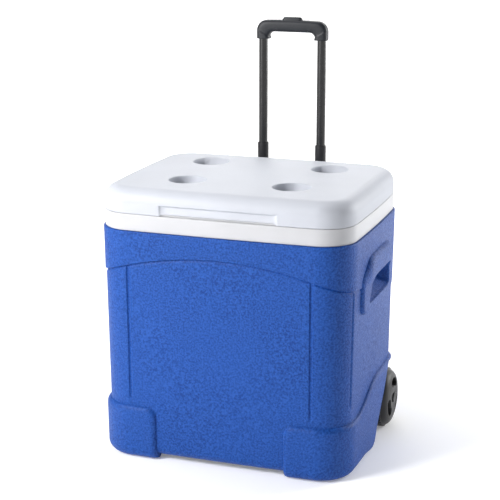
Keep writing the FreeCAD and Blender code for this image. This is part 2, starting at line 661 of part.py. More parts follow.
def axle_bracket(sign):
    """Moulded hanger under the raised floor that carries the axle."""
    x0 = sign * 205 - 9
    outline = [(WHEEL_Y - 26, 78), (WHEEL_Y - 12, 52), (WHEEL_Y + 12, 52), (WHEEL_Y + 26, 78)]
    block = x_prism(outline, x0, x0 + 18)
    return block.cut(cylinder(AXLE_RADIUS, 60, Vector(x0 - 20, WHEEL_Y, WHEEL_RADIUS), Vector(1, 0, 0)))


# ---------------------------------------------------------------- drain

def drain_body(shell_wall_y, tub_wall_y):
    """Threaded drain tube from the tub's back wall out through the shell, with a flange inside."""
    back = Vector(0, 1, 0)
    length = shell_wall_y - tub_wall_y + 9
    tube = cylinder(DRAIN_BORE + 2.5, length, Vector(DRAIN_X, tub_wall_y - 2.5, DRAIN_Z), back)
    flange = cylinder(DRAIN_BORE + 6, 2.5, Vector(DRAIN_X, tub_wall_y - 5, DRAIN_Z), back)
    bore = cylinder(DRAIN_BORE, 200, Vector(DRAIN_X, tub_wall_y - 20, DRAIN_Z), back)
    return tube.fuse(flange).cut(bore)


def drain_nut(shell_wall_y):
    """Hexagonal back nut against the shell."""
    base = Vector(DRAIN_X, shell_wall_y, DRAIN_Z)
    points = []
    for i in range(6):
        angle = math.radians(60 * i)
        points.append(base + Vector(17 * math.cos(angle), 0, 17 * math.sin(angle)))
    nut = Part.Face(Part.makePolygon(points + points[:1])).extrude(Vector(0, 5, 0))
    return nut.cut(cylinder(DRAIN_BORE + 2.5, 30, base - Vector(0, 10, 0), Vector(0, 1, 0)))


def drain_plug(shell_wall_y):
    """Push-in drain plug with a finger tab."""
    back = Vector(0, 1, 0)
    head_y = shell_wall_y + 6.6 + 0.4
    head = cylinder(DRAIN_BORE + 4, 4, Vector(DRAIN_X, head_y, DRAIN_Z), back)
    stem = cylinder(DRAIN_BORE - 0.06, 24, Vector(DRAIN_X, head_y - 24, DRAIN_Z), back)
    tab = box(DRAIN_X - 2, DRAIN_X + 2, head_y + 4, head_y + 13, DRAIN_Z - 9, DRAIN_Z + 9)
    return head.fuse(stem).fuse(tab)


def main():
    os.makedirs("parts", exist_ok=True)

    cavity = shell_cavity()
    tub_outside = tub_form(TUB_INSET, TUB_FLOOR, TUB_LEDGE, SEAM)
    shell = outer_shell(cavity)
    liner = inner_liner(tub_outside)
    foam = body_foam(cavity, tub_outside)

    shell_wall_y = wall_y(DRAIN_X, BAND_INSET - PAD_PROUD) - draft(DRAIN_Z) + 1.0
    tub_wall_y = DEPTH / 2 - TUB_INSET - WALL - 3.0
    drain = drain_body(shell_wall_y, tub_wall_y)
    drain_solid = cylinder(DRAIN_BORE + 2.5, 90, Vector(DRAIN_X, tub_wall_y - 20, DRAIN_Z), Vector(0, 1, 0))
    drain_seat = cylinder(DRAIN_BORE + 6, 2.5, Vector(DRAIN_X, tub_wall_y - 5, DRAIN_Z), Vector(0, 1, 0))
    top_screws = bracket_screw_set(TOP_BRACKET_Z)
    low_screws = bracket_screw_set(LOW_BRACKET_Z)
    shell = shell.cut(drain_solid).cut(top_screws).cut(low_screws)
    foam = foam.cut(drain_solid).cut(top_screws).cut(low_screws)
    liner = liner.cut(drain_solid).cut(drain_seat)

    save("outer_shell", shell)
    save("inner_liner", liner)
    save("body_foam", foam)
    save("drain_bush", drain)
    save("drain_nut", drain_nut(shell_wall_y).cut(shell))
    save("drain_plug", drain_plug(shell_wall_y))

    lid_outside = lid_form(0.0)
    lid_inside = lid_form(WALL)
    lid_shell = lid_outside.cut(lid_inside)
    panel = lid_panel(lid_inside)
    save("lid_shell", lid_shell)
    save("lid_panel", panel)
    save("lid_foam", lid_foam(lid_inside, panel))

    outer_tubes = []
    for side, sign in SIDES:
        hinge_x = sign * HINGE_X
        save("hinge_base_" + side, hinge_base(hinge_x, Part.makeCompound([liner, shell])))
        save("hinge_leaf_" + side, hinge_leaf(hinge_x, lid_outside))
        save("hinge_pin_" + side, hinge_pin(hinge_x))

        x = sign * TUBE_SPACING / 2
        outer_tubes.append(outer_tube(x))
        save("outer_tube_" + side, outer_tubes[-1])
        save("tube_collar_" + side, tube_collar(x))
        save("inner_tube_" + side, inner_tube(x, sign))
        save("guide_plug_" + side, guide_plug(x, sign))
        save("lock_pin_" + side, lock_pin(x, sign))

        side_wheel = wheel() if sign > 0 else mirrored(wheel())
        save("wheel_" + side, side_wheel)
        save("push_nut_" + side, push_nut(sign))
        save("axle_washer_" + side, washer(sign))
        save("axle_bracket_" + side, axle_bracket(sign).cut(shell))

    body_outside = wall_form(BAND_INSET, SHELL_BOTTOM, SHELL_TOP).fuse(band_form())
    save("tube_bracket_top", tube_bracket(TOP_BRACKET_Z, 15.0, [body_outside]))
    save("tube_bracket_bottom", tube_bracket(LOW_BRACKET_Z, 20.0, [body_outside]))
    save("bracket_screws", Part.makeCompound(top_screws.Solids + low_screws.Solids))
    save("axle", axle())

    save("grip", grip())
    save("release_button", release_button())
    save("release_yoke", release_yoke())
    save("button_spring", button_spring())


main()
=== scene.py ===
import json
import math

import bpy
import numpy as np
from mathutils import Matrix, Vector


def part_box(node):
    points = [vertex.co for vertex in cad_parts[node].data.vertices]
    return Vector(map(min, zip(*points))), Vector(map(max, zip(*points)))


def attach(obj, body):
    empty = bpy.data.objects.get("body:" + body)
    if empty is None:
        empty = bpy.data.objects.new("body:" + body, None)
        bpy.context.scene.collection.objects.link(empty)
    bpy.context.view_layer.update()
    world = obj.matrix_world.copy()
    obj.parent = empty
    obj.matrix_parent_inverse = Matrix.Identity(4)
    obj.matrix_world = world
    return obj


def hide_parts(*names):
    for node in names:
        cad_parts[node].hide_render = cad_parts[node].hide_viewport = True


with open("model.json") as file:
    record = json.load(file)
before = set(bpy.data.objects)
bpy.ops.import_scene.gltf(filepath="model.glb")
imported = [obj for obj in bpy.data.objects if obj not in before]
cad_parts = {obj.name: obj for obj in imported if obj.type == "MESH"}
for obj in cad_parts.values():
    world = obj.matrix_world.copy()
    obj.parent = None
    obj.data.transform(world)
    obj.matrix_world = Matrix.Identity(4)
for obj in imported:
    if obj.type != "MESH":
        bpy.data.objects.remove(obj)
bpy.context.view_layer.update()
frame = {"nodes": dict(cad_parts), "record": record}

# ------------------------------------------------------------------ studio
# A plain white sweep under soft lamps, with the camera a little above and to the right of the
# cooler's front.

BODY_Y = (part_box("inner_liner")[0].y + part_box("inner_liner")[1].y) / 2

scene = bpy.context.scene
scene.view_settings.view_transform = "Standard"
scene.view_settings.look = "None"

CAMERA_AZIMUTH = math.radians(19.29)
CAMERA_ELEVATION = math.radians(14.8)
CAMERA_DISTANCE = 2.776
CAMERA_SIDESTEP = -0.0055
CAMERA_AIM_HEIGHT = 0.3869
LENS_MM = 100.73


def add_camera():
    back = Vector((math.sin(CAMERA_AZIMUTH) * math.cos(CAMERA_ELEVATION),
                   -math.cos(CAMERA_AZIMUTH) * math.cos(CAMERA_ELEVATION), math.sin(CAMERA_ELEVATION)))
    right = Vector((math.cos(CAMERA_AZIMUTH), math.sin(CAMERA_AZIMUTH), 0))
    aim = Vector((0, BODY_Y, CAMERA_AIM_HEIGHT)) + right * CAMERA_SIDESTEP
    data = bpy.data.cameras.new("camera")
    data.lens = LENS_MM
    data.sensor_width = 36
    data.clip_end = 80
    camera = bpy.data.objects.new("camera", data)
    camera.location = aim + back * CAMERA_DISTANCE
    camera.rotation_euler = (-back).to_track_quat("-Z", "Y").to_euler()
    scene.collection.objects.link(camera)
    scene.camera = camera


def add_lamp(name, place, target, size, watts, tint):
    """A soft rectangular studio lamp aimed at a point."""
    data = bpy.data.lights.new(name, "AREA")
    data.shape = "RECTANGLE"
    data.size, data.size_y = size
    data.energy = watts
    data.color = tint
    lamp = bpy.data.objects.new(name, data)
    lamp.location = place
    lamp.rotation_euler = (Vector(target) - Vector(place)).to_track_quat("-Z", "Y").to_euler()
    scene.collection.objects.link(lamp)


add_camera()
add_lamp("key_left", (-1.2, -1.5, 1.35), (-0.1, 0, 0.4), (0.7, 0.8), 45, (1.0, 0.99, 0.98))
add_lamp("front_left", (-1.6, -2.3, 0.7), (0, 0, 0.3), (0.9, 0.7), 9, (1.0, 1.0, 1.0))
add_lamp("key_high", (-1.3, -1.5, 2.2), (0, 0, 0.35), (1.2, 1.2), 8, (1.0, 1.0, 1.0))
add_lamp("side_behind", (1.8, 1.6, 1.1), (0.1, 0, 0.3), (1.0, 1.4), 37, (0.98, 0.99, 1.0))
add_lamp("overhead", (-0.3, 0.3, 2.6), (0, 0, 0.4), (1.6, 1.6), 22, (0.99, 0.99, 1.0))
add_lamp("backdrop_wash", (-0.4, 2.6, 1.8), (0, 0, 0.4), (2.0, 1.2), 24, (1.0, 1.0, 1.0))

world = bpy.data.worlds.new("studio_air")
scene.world = world
world.use_nodes = True
world.node_tree.nodes["Background"].inputs["Color"].default_value = (1.0, 1.0, 1.0, 1)
world.node_tree.nodes["Background"].inputs["Strength"].default_value = 0.13


# ------------------------------------------------------------------ floor
# Seamless white paper. It only carries the soft contact shadow.

def add_node(tree, kind, settings=None, inputs=None, output=0):
    """One shader node: its settings first, then each input as a value or a link."""
    node = tree.nodes.new(kind)
    for key, value in (settings or {}).items():
        setattr(node, key, value)
    for key, value in (inputs or {}).items():
        if isinstance(value, Signal):
            tree.links.new(value.socket, node.inputs[key])
        else:
            node.inputs[key].default_value = value
    return Signal(tree, node.outputs[output])


class Signal:
    """A shader socket that can be added and multiplied: each operator makes one Math node."""

    def __init__(self, tree, socket):
        self.tree = tree
        self.socket = socket

    def maths(self, operation, other):
        return add_node(self.tree, "ShaderNodeMath", {"operation": operation}, {0: self, 1: other})

    def __add__(self, other):
        return self.maths("ADD", other)

    __radd__ = __add__

    def __mul__(self, other):
        return self.maths("MULTIPLY", other)

    __rmul__ = __mul__


class Finish:
    """A material under construction, with its Principled shader and object coordinates."""

    def __init__(self, name, **constants):
        self.material = bpy.data.materials.new(name)
        self.material.use_nodes = True
        self.tree = self.material.node_tree
        self.shader = self.tree.nodes["Principled BSDF"]
        for key, value in constants.items():
            self.shader.inputs[key.replace("_", " ")].default_value = value
        self.place = add_node(self.tree, "ShaderNodeTexCoord", output="Object")

    def add(self, kind, settings=None, inputs=None, output=0):
        return add_node(self.tree, kind, settings, inputs, output)

    def noise(self, scale, detail=2.0, roughness=0.5):
        """Noise with about this many lumps to the metre."""
        return self.add("ShaderNodeTexNoise", None,
                        {"Vector": self.place, "Scale": scale, "Detail": detail, "Roughness": roughness})

    def ramp(self, value, low, high, out_low=0.0, out_high=1.0):
        """Straight line from out_low at low to out_high at high, level beyond them."""
        return self.add("ShaderNodeMapRange", None,
                        {"Value": value, 1: low, 2: high, 3: out_low, 4: out_high})

    def mix(self, factor, first, second):
        """Colour from first (factor 0) to second (factor 1)."""
        first, second = ((*c, 1.0) if isinstance(c, tuple) else c for c in (first, second))
        return self.add("ShaderNodeMix", {"data_type": "RGBA"}, {0: factor, 6: first, 7: second}, 2)

    def bump(self, height, depth, strength):
        return self.add("ShaderNodeBump", None, {"Height": height, "Distance": depth, "Strength": strength})

    def feed(self, **links):
        """Links signals to the shader's inputs of those names."""
        for key, value in links.items():
            self.tree.links.new(value.socket, self.shader.inputs[key.replace("_", " ")])
        return self


def paper_finish():
    """Matt paper. It glows a little, and more behind the cooler and far out, like lit studio walls."""
    finish = Finish("studio_paper", Roughness=0.9, Emission_Strength=1.0)
    tone = finish.mix(finish.noise(6.0, 3.0), (0.93, 0.93, 0.935), (0.95, 0.95, 0.955))
    depth = finish.add("ShaderNodeSeparateXYZ", None, {0: finish.place}, 1)
    reach = finish.add("ShaderNodeVectorMath", {"operation": "LENGTH"}, {0: finish.place}, 1)
    far = finish.ramp(depth, 0.5, 1.8).maths("MAXIMUM", finish.ramp(reach, 1.8, 3.6))
    glow = finish.mix(far, (0.20, 0.20, 0.20), (0.85, 0.85, 0.85))
    return finish.feed(Base_Color=tone, Emission_Color=glow)


PAPER_HALF = 25.0
SWEEP_START = 2.5
SWEEP_END = 5.5
RIM_START = 12.0
PAPER_DROP = 0.0004


def lay_floor():
    """A very wide sheet: its height rises with the square of the way past the sweep's start, and
    much more gently with the square of the way past the rim's start, all round."""
    near = np.linspace(-PAPER_HALF, 2.0, 30)
    sweep = np.linspace(2.4, SWEEP_END, 20)
    across, run = np.meshgrid(np.linspace(-PAPER_HALF, PAPER_HALF, 60), np.concatenate([near, sweep]))
    rise = 0.35 * np.clip(run - SWEEP_START, 0, None) ** 2
    rise = rise + 0.018 * np.clip(np.hypot(across, run) - RIM_START, 0, None) ** 2
    return grid_piece("floor", np.stack([across, run, rise - PAPER_DROP], axis=-1), paper_finish())


def new_piece(name, vertices, faces, finish):
    """A smooth-shaded mesh object at the origin from vertex and face arrays."""
    mesh = bpy.data.meshes.new(name)
    mesh.from_pydata(np.asarray(vertices, float).tolist(), [], faces)
    mesh.update()
    mesh.polygons.foreach_set("use_smooth", np.ones(len(mesh.polygons), bool))
    mesh.materials.append(finish.material)
    piece = bpy.data.objects.new(name, mesh)
    scene.collection.objects.link(piece)
    return piece


def grid_faces(rows, columns, closed=False, start=0):
    """Quads of a rows by columns grid whose columns may close on themselves."""
    wrap = columns if closed else columns - 1
    row = np.arange(rows - 1)[:, None]
    column = np.arange(wrap)[None, :]
    after = (column + 1) % columns
    quads = np.stack(np.broadcast_arrays(row * columns + column, row * columns + after,
                                         (row + 1) * columns + after, (row + 1) * columns + column), axis=-1)
    return (quads.reshape(-1, 4) + start).tolist()


def grid_piece(name, points, finish, closed=False):
    rows, columns = points.shape[:2]
    return new_piece(name, points.reshape(-1, 3), grid_faces(rows, columns, closed), finish)


floor = lay_floor()


# ------------------------------------------------------------------ outer shell
# The blue body is one blow-moulded polyethylene shell, with a pebbled skin from its mould. A proud
# band runs round the top, corner feet and fenders stand proud below, and two hand grips are
# moulded into the sides.

HALF_X = 0.250
HALF_Y = 0.2005
SIDE_BOW = 0.0053
FRONT_BOW = 0.0049
CORNER_RADIUS = 0.069
SHELL_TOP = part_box("outer_shell")[1].z
DRAFT = 0.0055
RIM_ROUND = 0.0022
FLANGE_INSET = 0.016
BAND_STEP = 0.0021
BAND_CREASE = 0.0022
BAND_CREASE_HEIGHT = 0.0042
BAND_ROUND = 0.0030
DEEPEST_INSET = 0.0048
ARCH_RADIUS = 0.696
ARCH_TOP = 0.4146
SIDE_DIP = 0.007
PAD_PROUD = 0.008
PAD_INNER_X = 0.130
PAD_TOP = 0.108
PAD_OUTLINE_ROUND = 0.020
PAD_EDGE_ROUND = 0.0125
FENDER_RISE = 0.041
BASE_HEIGHT = 0.008
BASE_ROUND = 0.019
WELL_INNER_X = 0.224
WELL_EDGE_Y = np.array([-0.012, 0.000, 0.009, 0.016, 0.024, 0.044, 0.067, 0.084, 0.098, 0.106, 0.120])
WELL_EDGE_Z = np.array([0.000, 0.003, 0.010, 0.021, 0.036, 0.059, 0.084, 0.106, 0.126, 0.136, 0.140])
WELL_LIP = 0.005
LIP_Y = (-0.06, 0.012)
UNDERCUT_Y = (0.078, 0.104)
UNDERCUT_Z = 0.078
GROOVE_X = 0.182
GROOVE_Y = -0.150
GROOVE_HALF = 0.0042
GROOVE_DEPTH = 0.0026
GROOVE_FOOT = 0.122


def ease(start, end, value):
    """0 before start, 1 after end, with a smooth S between."""
    t = np.clip((value - start) / (end - start), 0, 1)
    return t * t * (3 - 2 * t)


def quarter_round(depth):
    """Height of a quarter circle, 0 at its foot and 1 from depth 1 on."""
    t = np.clip(depth, 0, 1)
    return np.sqrt(np.clip(1 - (1 - t) ** 2, 0, 1))


def runs(*stops):
    """Values along a line: each stop is (end value, number of steps to it) after the first value."""
    values = [np.array([stops[0]])]
    for end, steps in stops[1:]:
        values.append(np.linspace(values[-1][-1], end, steps + 1)[1:])
    return np.concatenate(values)


class WallLoop:
    """Once round the body at its top edge: points, outward normals and wall numbers.

    Each wall is a shallow arc, x = c + sqrt(r^2 - y^2) for the sides and the same with x and y
    exchanged for the front and back, and the corners are arcs tangent to both.
    """

    def __init__(self, front_x, side_y, corner_degrees):
        side_r = (HALF_Y ** 2 + SIDE_BOW ** 2) / (2 * SIDE_BOW)
        front_r = (HALF_X ** 2 + FRONT_BOW ** 2) / (2 * FRONT_BOW)
        self.side_r, self.side_c = side_r, HALF_X + SIDE_BOW - side_r
        self.front_r, self.front_c = front_r, HALF_Y + FRONT_BOW - front_r
        near_side, near_front = side_r - CORNER_RADIUS, front_r - CORNER_RADIUS
        gap = math.hypot(self.side_c, self.front_c)
        along = (near_side ** 2 - near_front ** 2 + gap ** 2) / (2 * gap)
        off = math.sqrt(near_side ** 2 - along ** 2)
        ux, uy = -self.side_c / gap, self.front_c / gap
        options = [(self.side_c + ux * along - uy * k * off, uy * along + ux * k * off) for k in (1, -1)]
        self.corner = max(options, key=lambda p: p[0] + p[1])
        self.side_end = math.atan2(self.corner[1], self.corner[0] - self.side_c)
        self.front_end = math.atan2(self.corner[1] - self.front_c, self.corner[0])
        x_end = self.front_r * math.cos(self.front_end)
        y_end = self.side_r * math.sin(self.side_end)
        xs = np.clip(front_x, 0, x_end)
        xs = np.unique(np.concatenate([-xs, xs, [-x_end, x_end]]).round(7))
        ys = np.unique(np.clip(np.concatenate([side_y, [-y_end, y_end]]), -y_end, y_end).round(7))
        share = np.unique(np.asarray(corner_degrees, float)) / 90.0
        share = share[(share > 0) & (share < 1)]
        front = self.on_front(xs, -1)
        right = self.on_side(ys, 1)
        rear = self.on_front(xs[::-1], 1)
        left = self.on_side(ys[::-1], -1)
        parts = [front, self.on_corner(share, 1, -1), right, self.on_corner(share, 1, 1)[:, ::-1],
                 rear, self.on_corner(share, -1, 1), left, self.on_corner(share, -1, -1)[:, ::-1]]
        self.counts = [part.shape[1] for part in parts]
        x, y, nx, ny = np.concatenate(parts, axis=1)
        self.x, self.y, self.nx, self.ny = x, y, nx, ny
        self.wall = np.repeat(np.arange(8), self.counts)
        self.xs, self.ys = xs, ys

    def on_front(self, x, sign):
        rise = np.sqrt(self.front_r ** 2 - x ** 2)
        return np.array([x, sign * (self.front_c + rise), x / self.front_r, sign * rise / self.front_r])

    def on_side(self, y, sign):
        rise = np.sqrt(self.side_r ** 2 - y ** 2)
        return np.array([sign * (self.side_c + rise), y, sign * rise / self.side_r, y / self.side_r])

    def on_corner(self, share, sx, sy):
        """Corner columns from the front or back wall (share 0) round to the side wall (share 1)."""
        angle = self.front_end + share * (self.side_end - self.front_end)
        cos, sin = np.cos(angle), np.sin(angle)
        x, y = self.corner[0] + CORNER_RADIUS * cos, self.corner[1] + CORNER_RADIUS * sin
        return np.array([sx * x, sy * y, sx * cos, sy * sin])

    def offset(self, inset):
        """The loop moved inwards along its normals."""
        return self.x - self.nx * inset, self.y - self.ny * inset


def cap_grid(loop, half_x, half_y, pull=0.0):
    """A flat grid inside the loop. Pull is the share its corners are drawn in by."""
    x = loop.xs / loop.xs[-1] * half_x
    y = loop.ys / loop.ys[-1] * half_y
    grid_x, grid_y = np.meshgrid(x, y)
    draw = 1 - pull * (np.abs(grid_x) / half_x) ** 6 * (np.abs(grid_y) / half_y) ** 6
    return grid_x * draw, grid_y * draw


def cap_faces(loop, ring, grid, flip=False):
    """Faces that join the last ring of the loop to a cap grid, and the grid's own quads."""
    nx, corner, ny = loop.counts[0], loop.counts[1], loop.counts[2]
    total = sum(loop.counts)
    inner = grid + np.arange(ny * nx).reshape(ny, nx)
    starts = np.cumsum([0] + loop.counts)
    sides = [inner[0, :], inner[:, -1], inner[-1, ::-1], inner[::-1, 0]]
    faces = grid_faces(ny, nx, False, grid)
    for i, side in enumerate(sides):
        first = starts[2 * i]
        for j in range(len(side) - 1):
            faces.append([side[j + 1], side[j], ring + first + j, ring + first + j + 1])
        last = first + len(side) - 1
        for j in range(corner + 1):
            faces.append([side[-1], ring + last + j, ring + (last + j + 1) % total])
    if flip:
        faces = [face[::-1] for face in faces]
    return [[int(v) for v in face] for face in faces]


def draft(z):
    """How far the walls have drawn in at this height."""
    return DRAFT * (SHELL_TOP - z) / SHELL_TOP


def band_edge(loop):
    """Height of the band's lower edge: an arch across front and back, with a dip along the sides."""
    arch = ARCH_TOP - ARCH_RADIUS + np.sqrt(ARCH_RADIUS ** 2 - loop.x ** 2)
    on_side = ease(0.225, 0.252, np.abs(loop.x))
    return arch - SIDE_DIP * on_side * (1 - ease(0.100, 0.185, np.abs(loop.y)))


def fender_top(loop):
    """Height of the top of the feet, rising in an S along the sides to the fenders."""
    rise = ease(-0.118, 0.028, loop.y)
    return PAD_TOP + FENDER_RISE * rise


def well_edge(loop):
    """Height at which the wall ends: the ground, the wheel well's edge or the raised floor."""
    edge = np.where(np.abs(loop.x) > PAD_INNER_X, 0.0, BASE_HEIGHT)
    behind = (np.abs(loop.x) > WELL_INNER_X) & (loop.y > WELL_EDGE_Y[0])
    edge = np.where(behind, np.interp(loop.y, WELL_EDGE_Y, WELL_EDGE_Z), edge)
    at_back = (np.abs(loop.x) <= WELL_INNER_X) & (loop.y > 0)
    return np.where(at_back, UNDERCUT_Z, edge)


def floor_height(x, y):
    """Underside of the body: runners under the feet, raised at the back over the axle."""
    base = BASE_HEIGHT * (1 - ease(PAD_INNER_X - 0.0005, PAD_INNER_X + 0.0045, np.abs(x)))
    return base + (UNDERCUT_Z - base) * np.clip((y - UNDERCUT_Y[0]) / (UNDERCUT_Y[1] - UNDERCUT_Y[0]), 0, 1)


def pad_height(loop, z, top):
    """Proudness of the feet and fenders: a quarter circle over the distance in from their outline,
    whose own corners are circles too."""
    across = np.where(np.isin(loop.wall, (0, 4)), np.abs(loop.x) - PAD_INNER_X, 0.2)
    off_x = np.clip(PAD_OUTLINE_ROUND - across, 0, None)
    off_z = np.clip(PAD_OUTLINE_ROUND - (top - z), 0, None)
    inside = PAD_OUTLINE_ROUND - np.hypot(off_x, off_z)
    return PAD_PROUD * quarter_round(inside / PAD_EDGE_ROUND)


def groove_depth(loop, z, edge):
    """Upright grooves: a smooth channel beside each corner, ended above the feet."""
    flat = np.where(np.abs(loop.nx) < np.abs(loop.ny), np.abs(np.abs(loop.x) - GROOVE_X), 1.0)
    side = np.where(np.abs(loop.nx) > np.abs(loop.ny), np.abs(loop.y - GROOVE_Y), 1.0)
    channel = 1 - ease(0.25, 1.0, flat / GROOVE_HALF)
    channel += 0.8 * (1 - ease(0.15, 1.0, side / (GROOVE_HALF * 0.8)))
    foot = np.where(side < 0.1, GROOVE_FOOT + 0.016, GROOVE_FOOT)
    return GROOVE_DEPTH * channel * ease(foot, foot + 0.003, z) * (1 - ease(edge - 0.001, edge + 0.0012, z))


def base_radius(loop, end):
    """Radius of the rounding where the wall turns under: full in front, a fine lip at the wells."""
    radius = np.where(end > 0.05, WELL_LIP, BASE_ROUND)
    on_side = (np.abs(loop.x) > WELL_INNER_X) & (loop.y > LIP_Y[0])
    return np.where(on_side, BASE_ROUND + (WELL_LIP - BASE_ROUND) * ease(*LIP_Y, loop.y), radius)


def wall_inset(loop, z, edge, top):
    """How far the wall stands in at heights z: draft, rim, band step, grooves, less the feet."""
    drop = np.clip((RIM_ROUND - (SHELL_TOP - z)) / RIM_ROUND, 0, 1)
    under_band = quarter_round((edge + 0.0022 - z) / BAND_ROUND)
    crease = BAND_CREASE * (1 - ease(0.0, BAND_CREASE_HEIGHT, edge - z))
    set_back = under_band * (BAND_STEP + crease) + groove_depth(loop, z, edge)
    inset = draft(z) + RIM_ROUND * (1 - np.sqrt(1 - drop ** 2)) + np.minimum(set_back, DEEPEST_INSET)
    return inset - pad_height(loop, z, top)


def wall_heights(edge, top, wall_end):
    """Heights of the wall's rows, close together at the rim, the band's edge and the feet's top."""
    rim = SHELL_TOP - RIM_ROUND
    heights = [SHELL_TOP - step + 0 * edge for step in (0.0, 0.0003, 0.0008, 0.0015, RIM_ROUND)]
    heights += [rim + share * (edge + 0.0024 - rim) for share in runs(0.0, (1.0, 16))[1:]]
    for step in (22, 20, 17, 13, 9, 4, -2, -8, -16, -26, -38):
        heights.append(edge + step * 1e-4)
    below_band, above_feet = edge - 0.0044, top + 0.0035
    heights += [below_band + share * (above_feet - below_band) for share in runs(0.0, (1.0, 48))]
    for step in (18, 6, 0, -2, -6, -12, -20, -32, -48, -68, -92, -122):
        heights.append(np.maximum(top + step * 1e-4, wall_end + 0.003 + step * 2e-5))
    lowest = np.maximum(top - 0.0122, wall_end + 0.0006)
    heights += [lowest + share * (wall_end - lowest) for share in runs(0.0, (1.0, 14))[1:]]
    return heights


def shell_rows(loop):
    """The shell as rows from the top edge down the wall, round the base and under it."""
    edge = band_edge(loop)
    top = fender_top(loop)
    end = well_edge(loop)
    radius = base_radius(loop, end)
    wall_end = end + radius
    flange_x, flange_y = loop.offset(FLANGE_INSET)
    rows = [np.stack([flange_x, flange_y, SHELL_TOP - 0.0002 + 0 * loop.x], axis=-1)]
    for z in wall_heights(edge, top, wall_end):
        x, y = loop.offset(wall_inset(loop, z, edge, top))
        rows.append(np.stack([x, y, z + 0 * x], axis=-1))
    start_inset = draft(wall_end) + BAND_STEP - pad_height(loop, wall_end, top)
    for angle in np.radians(runs(0.0, (90.0, 9))[1:]):
        x, y = loop.offset(start_inset + radius * (1 - np.cos(angle)))
        rows.append(np.stack([x, y, end + radius * (1 - np.sin(angle))], axis=-1))
    under_x, under_y = loop.offset(start_inset + radius)
    in_x = np.sign(under_x) * np.minimum(np.abs(under_x), WELL_INNER_X)
    for share in (0.35, 0.7, 0.97, 1.0):
        rows.append(np.stack([under_x + share * (in_x - under_x), under_y, end], axis=-1))
    ground = np.minimum(floor_height(in_x, under_y), end)
    for share in (0.04, 0.3, 0.65, 0.96, 1.0):
        rows.append(np.stack([in_x, under_y, end + share * (ground - end)], axis=-1))
    return np.array(rows)


# The side grips: a raised rounded frame whose top swells into the carrying bar, over a scooped
# pocket. The frame's half width is given at its foot and at its top, and the pocket's mouth and
# floor by their lower and upper edges.

GRIP_CENTRE_Y = 0.009
FRAME_Z = (0.302, 0.414)
FRAME_HALF = (0.118, 0.078)
FRAME_SQUARE = 7
FRAME_SINK = 0.0060
FRAME_PROUD = 0.0045
BAR_SWELL = 0.0060
BAR_Z = (0.358, 0.4185)
OPEN_LOW = (-0.066, 0.088, 0.320)
OPEN_HIGH = (-0.037, 0.083, 0.3682)
FLOOR_LOW = (-0.034, 0.070, 0.350)
FLOOR_HIGH = (-0.026, 0.072, 0.3682)
POCKET_DEPTH = 0.029
MOUTH_RING = 0.52
FLOOR_RING = 0.14
SIDE_WALL_X = 0.235
COVERED_SHARE = 0.90


def narrowing(b):
    """How far the frame has drawn in from its foot's half width to its top's, at height share b."""
    return ease(0.2, 1.0, b)


def frame_outline(a, b):
    """Outer outline of the grip's frame for directions a, b on the unit square.

    It is a superellipse, |a|^7 + |b|^7 = 1, that narrows towards its top.
    """
    size = (np.abs(a) ** FRAME_SQUARE + np.abs(b) ** FRAME_SQUARE) ** (1 / FRAME_SQUARE)
    a, b = a / size, b / size
    half = FRAME_HALF[0] + (FRAME_HALF[1] - FRAME_HALF[0]) * narrowing(b)
    middle = sum(FRAME_Z) / 2
    return GRIP_CENTRE_Y + a * half, middle + b * (FRAME_Z[1] - FRAME_Z[0]) / 2


def four_sided(a, b, low, high, power):
    """A superellipse fitted between a lower and an upper edge, each given as (y0, y1, z)."""
    size = (np.abs(a) ** power + np.abs(b) ** power) ** (1 / power)
    a, b = a / size, b / size
    t = (b + 1) / 2
    y0 = low[0] + (high[0] - low[0]) * t
    y1 = low[1] + (high[1] - low[1]) * t
    return (y0 + y1) / 2 + a * (y1 - y0) / 2, low[2] + (high[2] - low[2]) * t


def inside_grip(points, face):
    """True for a quad of the wall that the grip's frame covers."""
    centre = points[face].mean(axis=0)
    if abs(centre[0]) < SIDE_WALL_X or not FRAME_Z[0] < centre[2] < FRAME_Z[1]:
        return False
    a = (centre[1] - BODY_Y - GRIP_CENTRE_Y) / FRAME_HALF[0]
    b = (centre[2] - sum(FRAME_Z) / 2) / (FRAME_Z[1] - FRAME_Z[0]) * 2
    half = 1 - (1 - FRAME_HALF[1] / FRAME_HALF[0]) * narrowing(b)
    return (abs(a) / half) ** FRAME_SQUARE + abs(b) ** FRAME_SQUARE < COVERED_SHARE ** FRAME_SQUARE


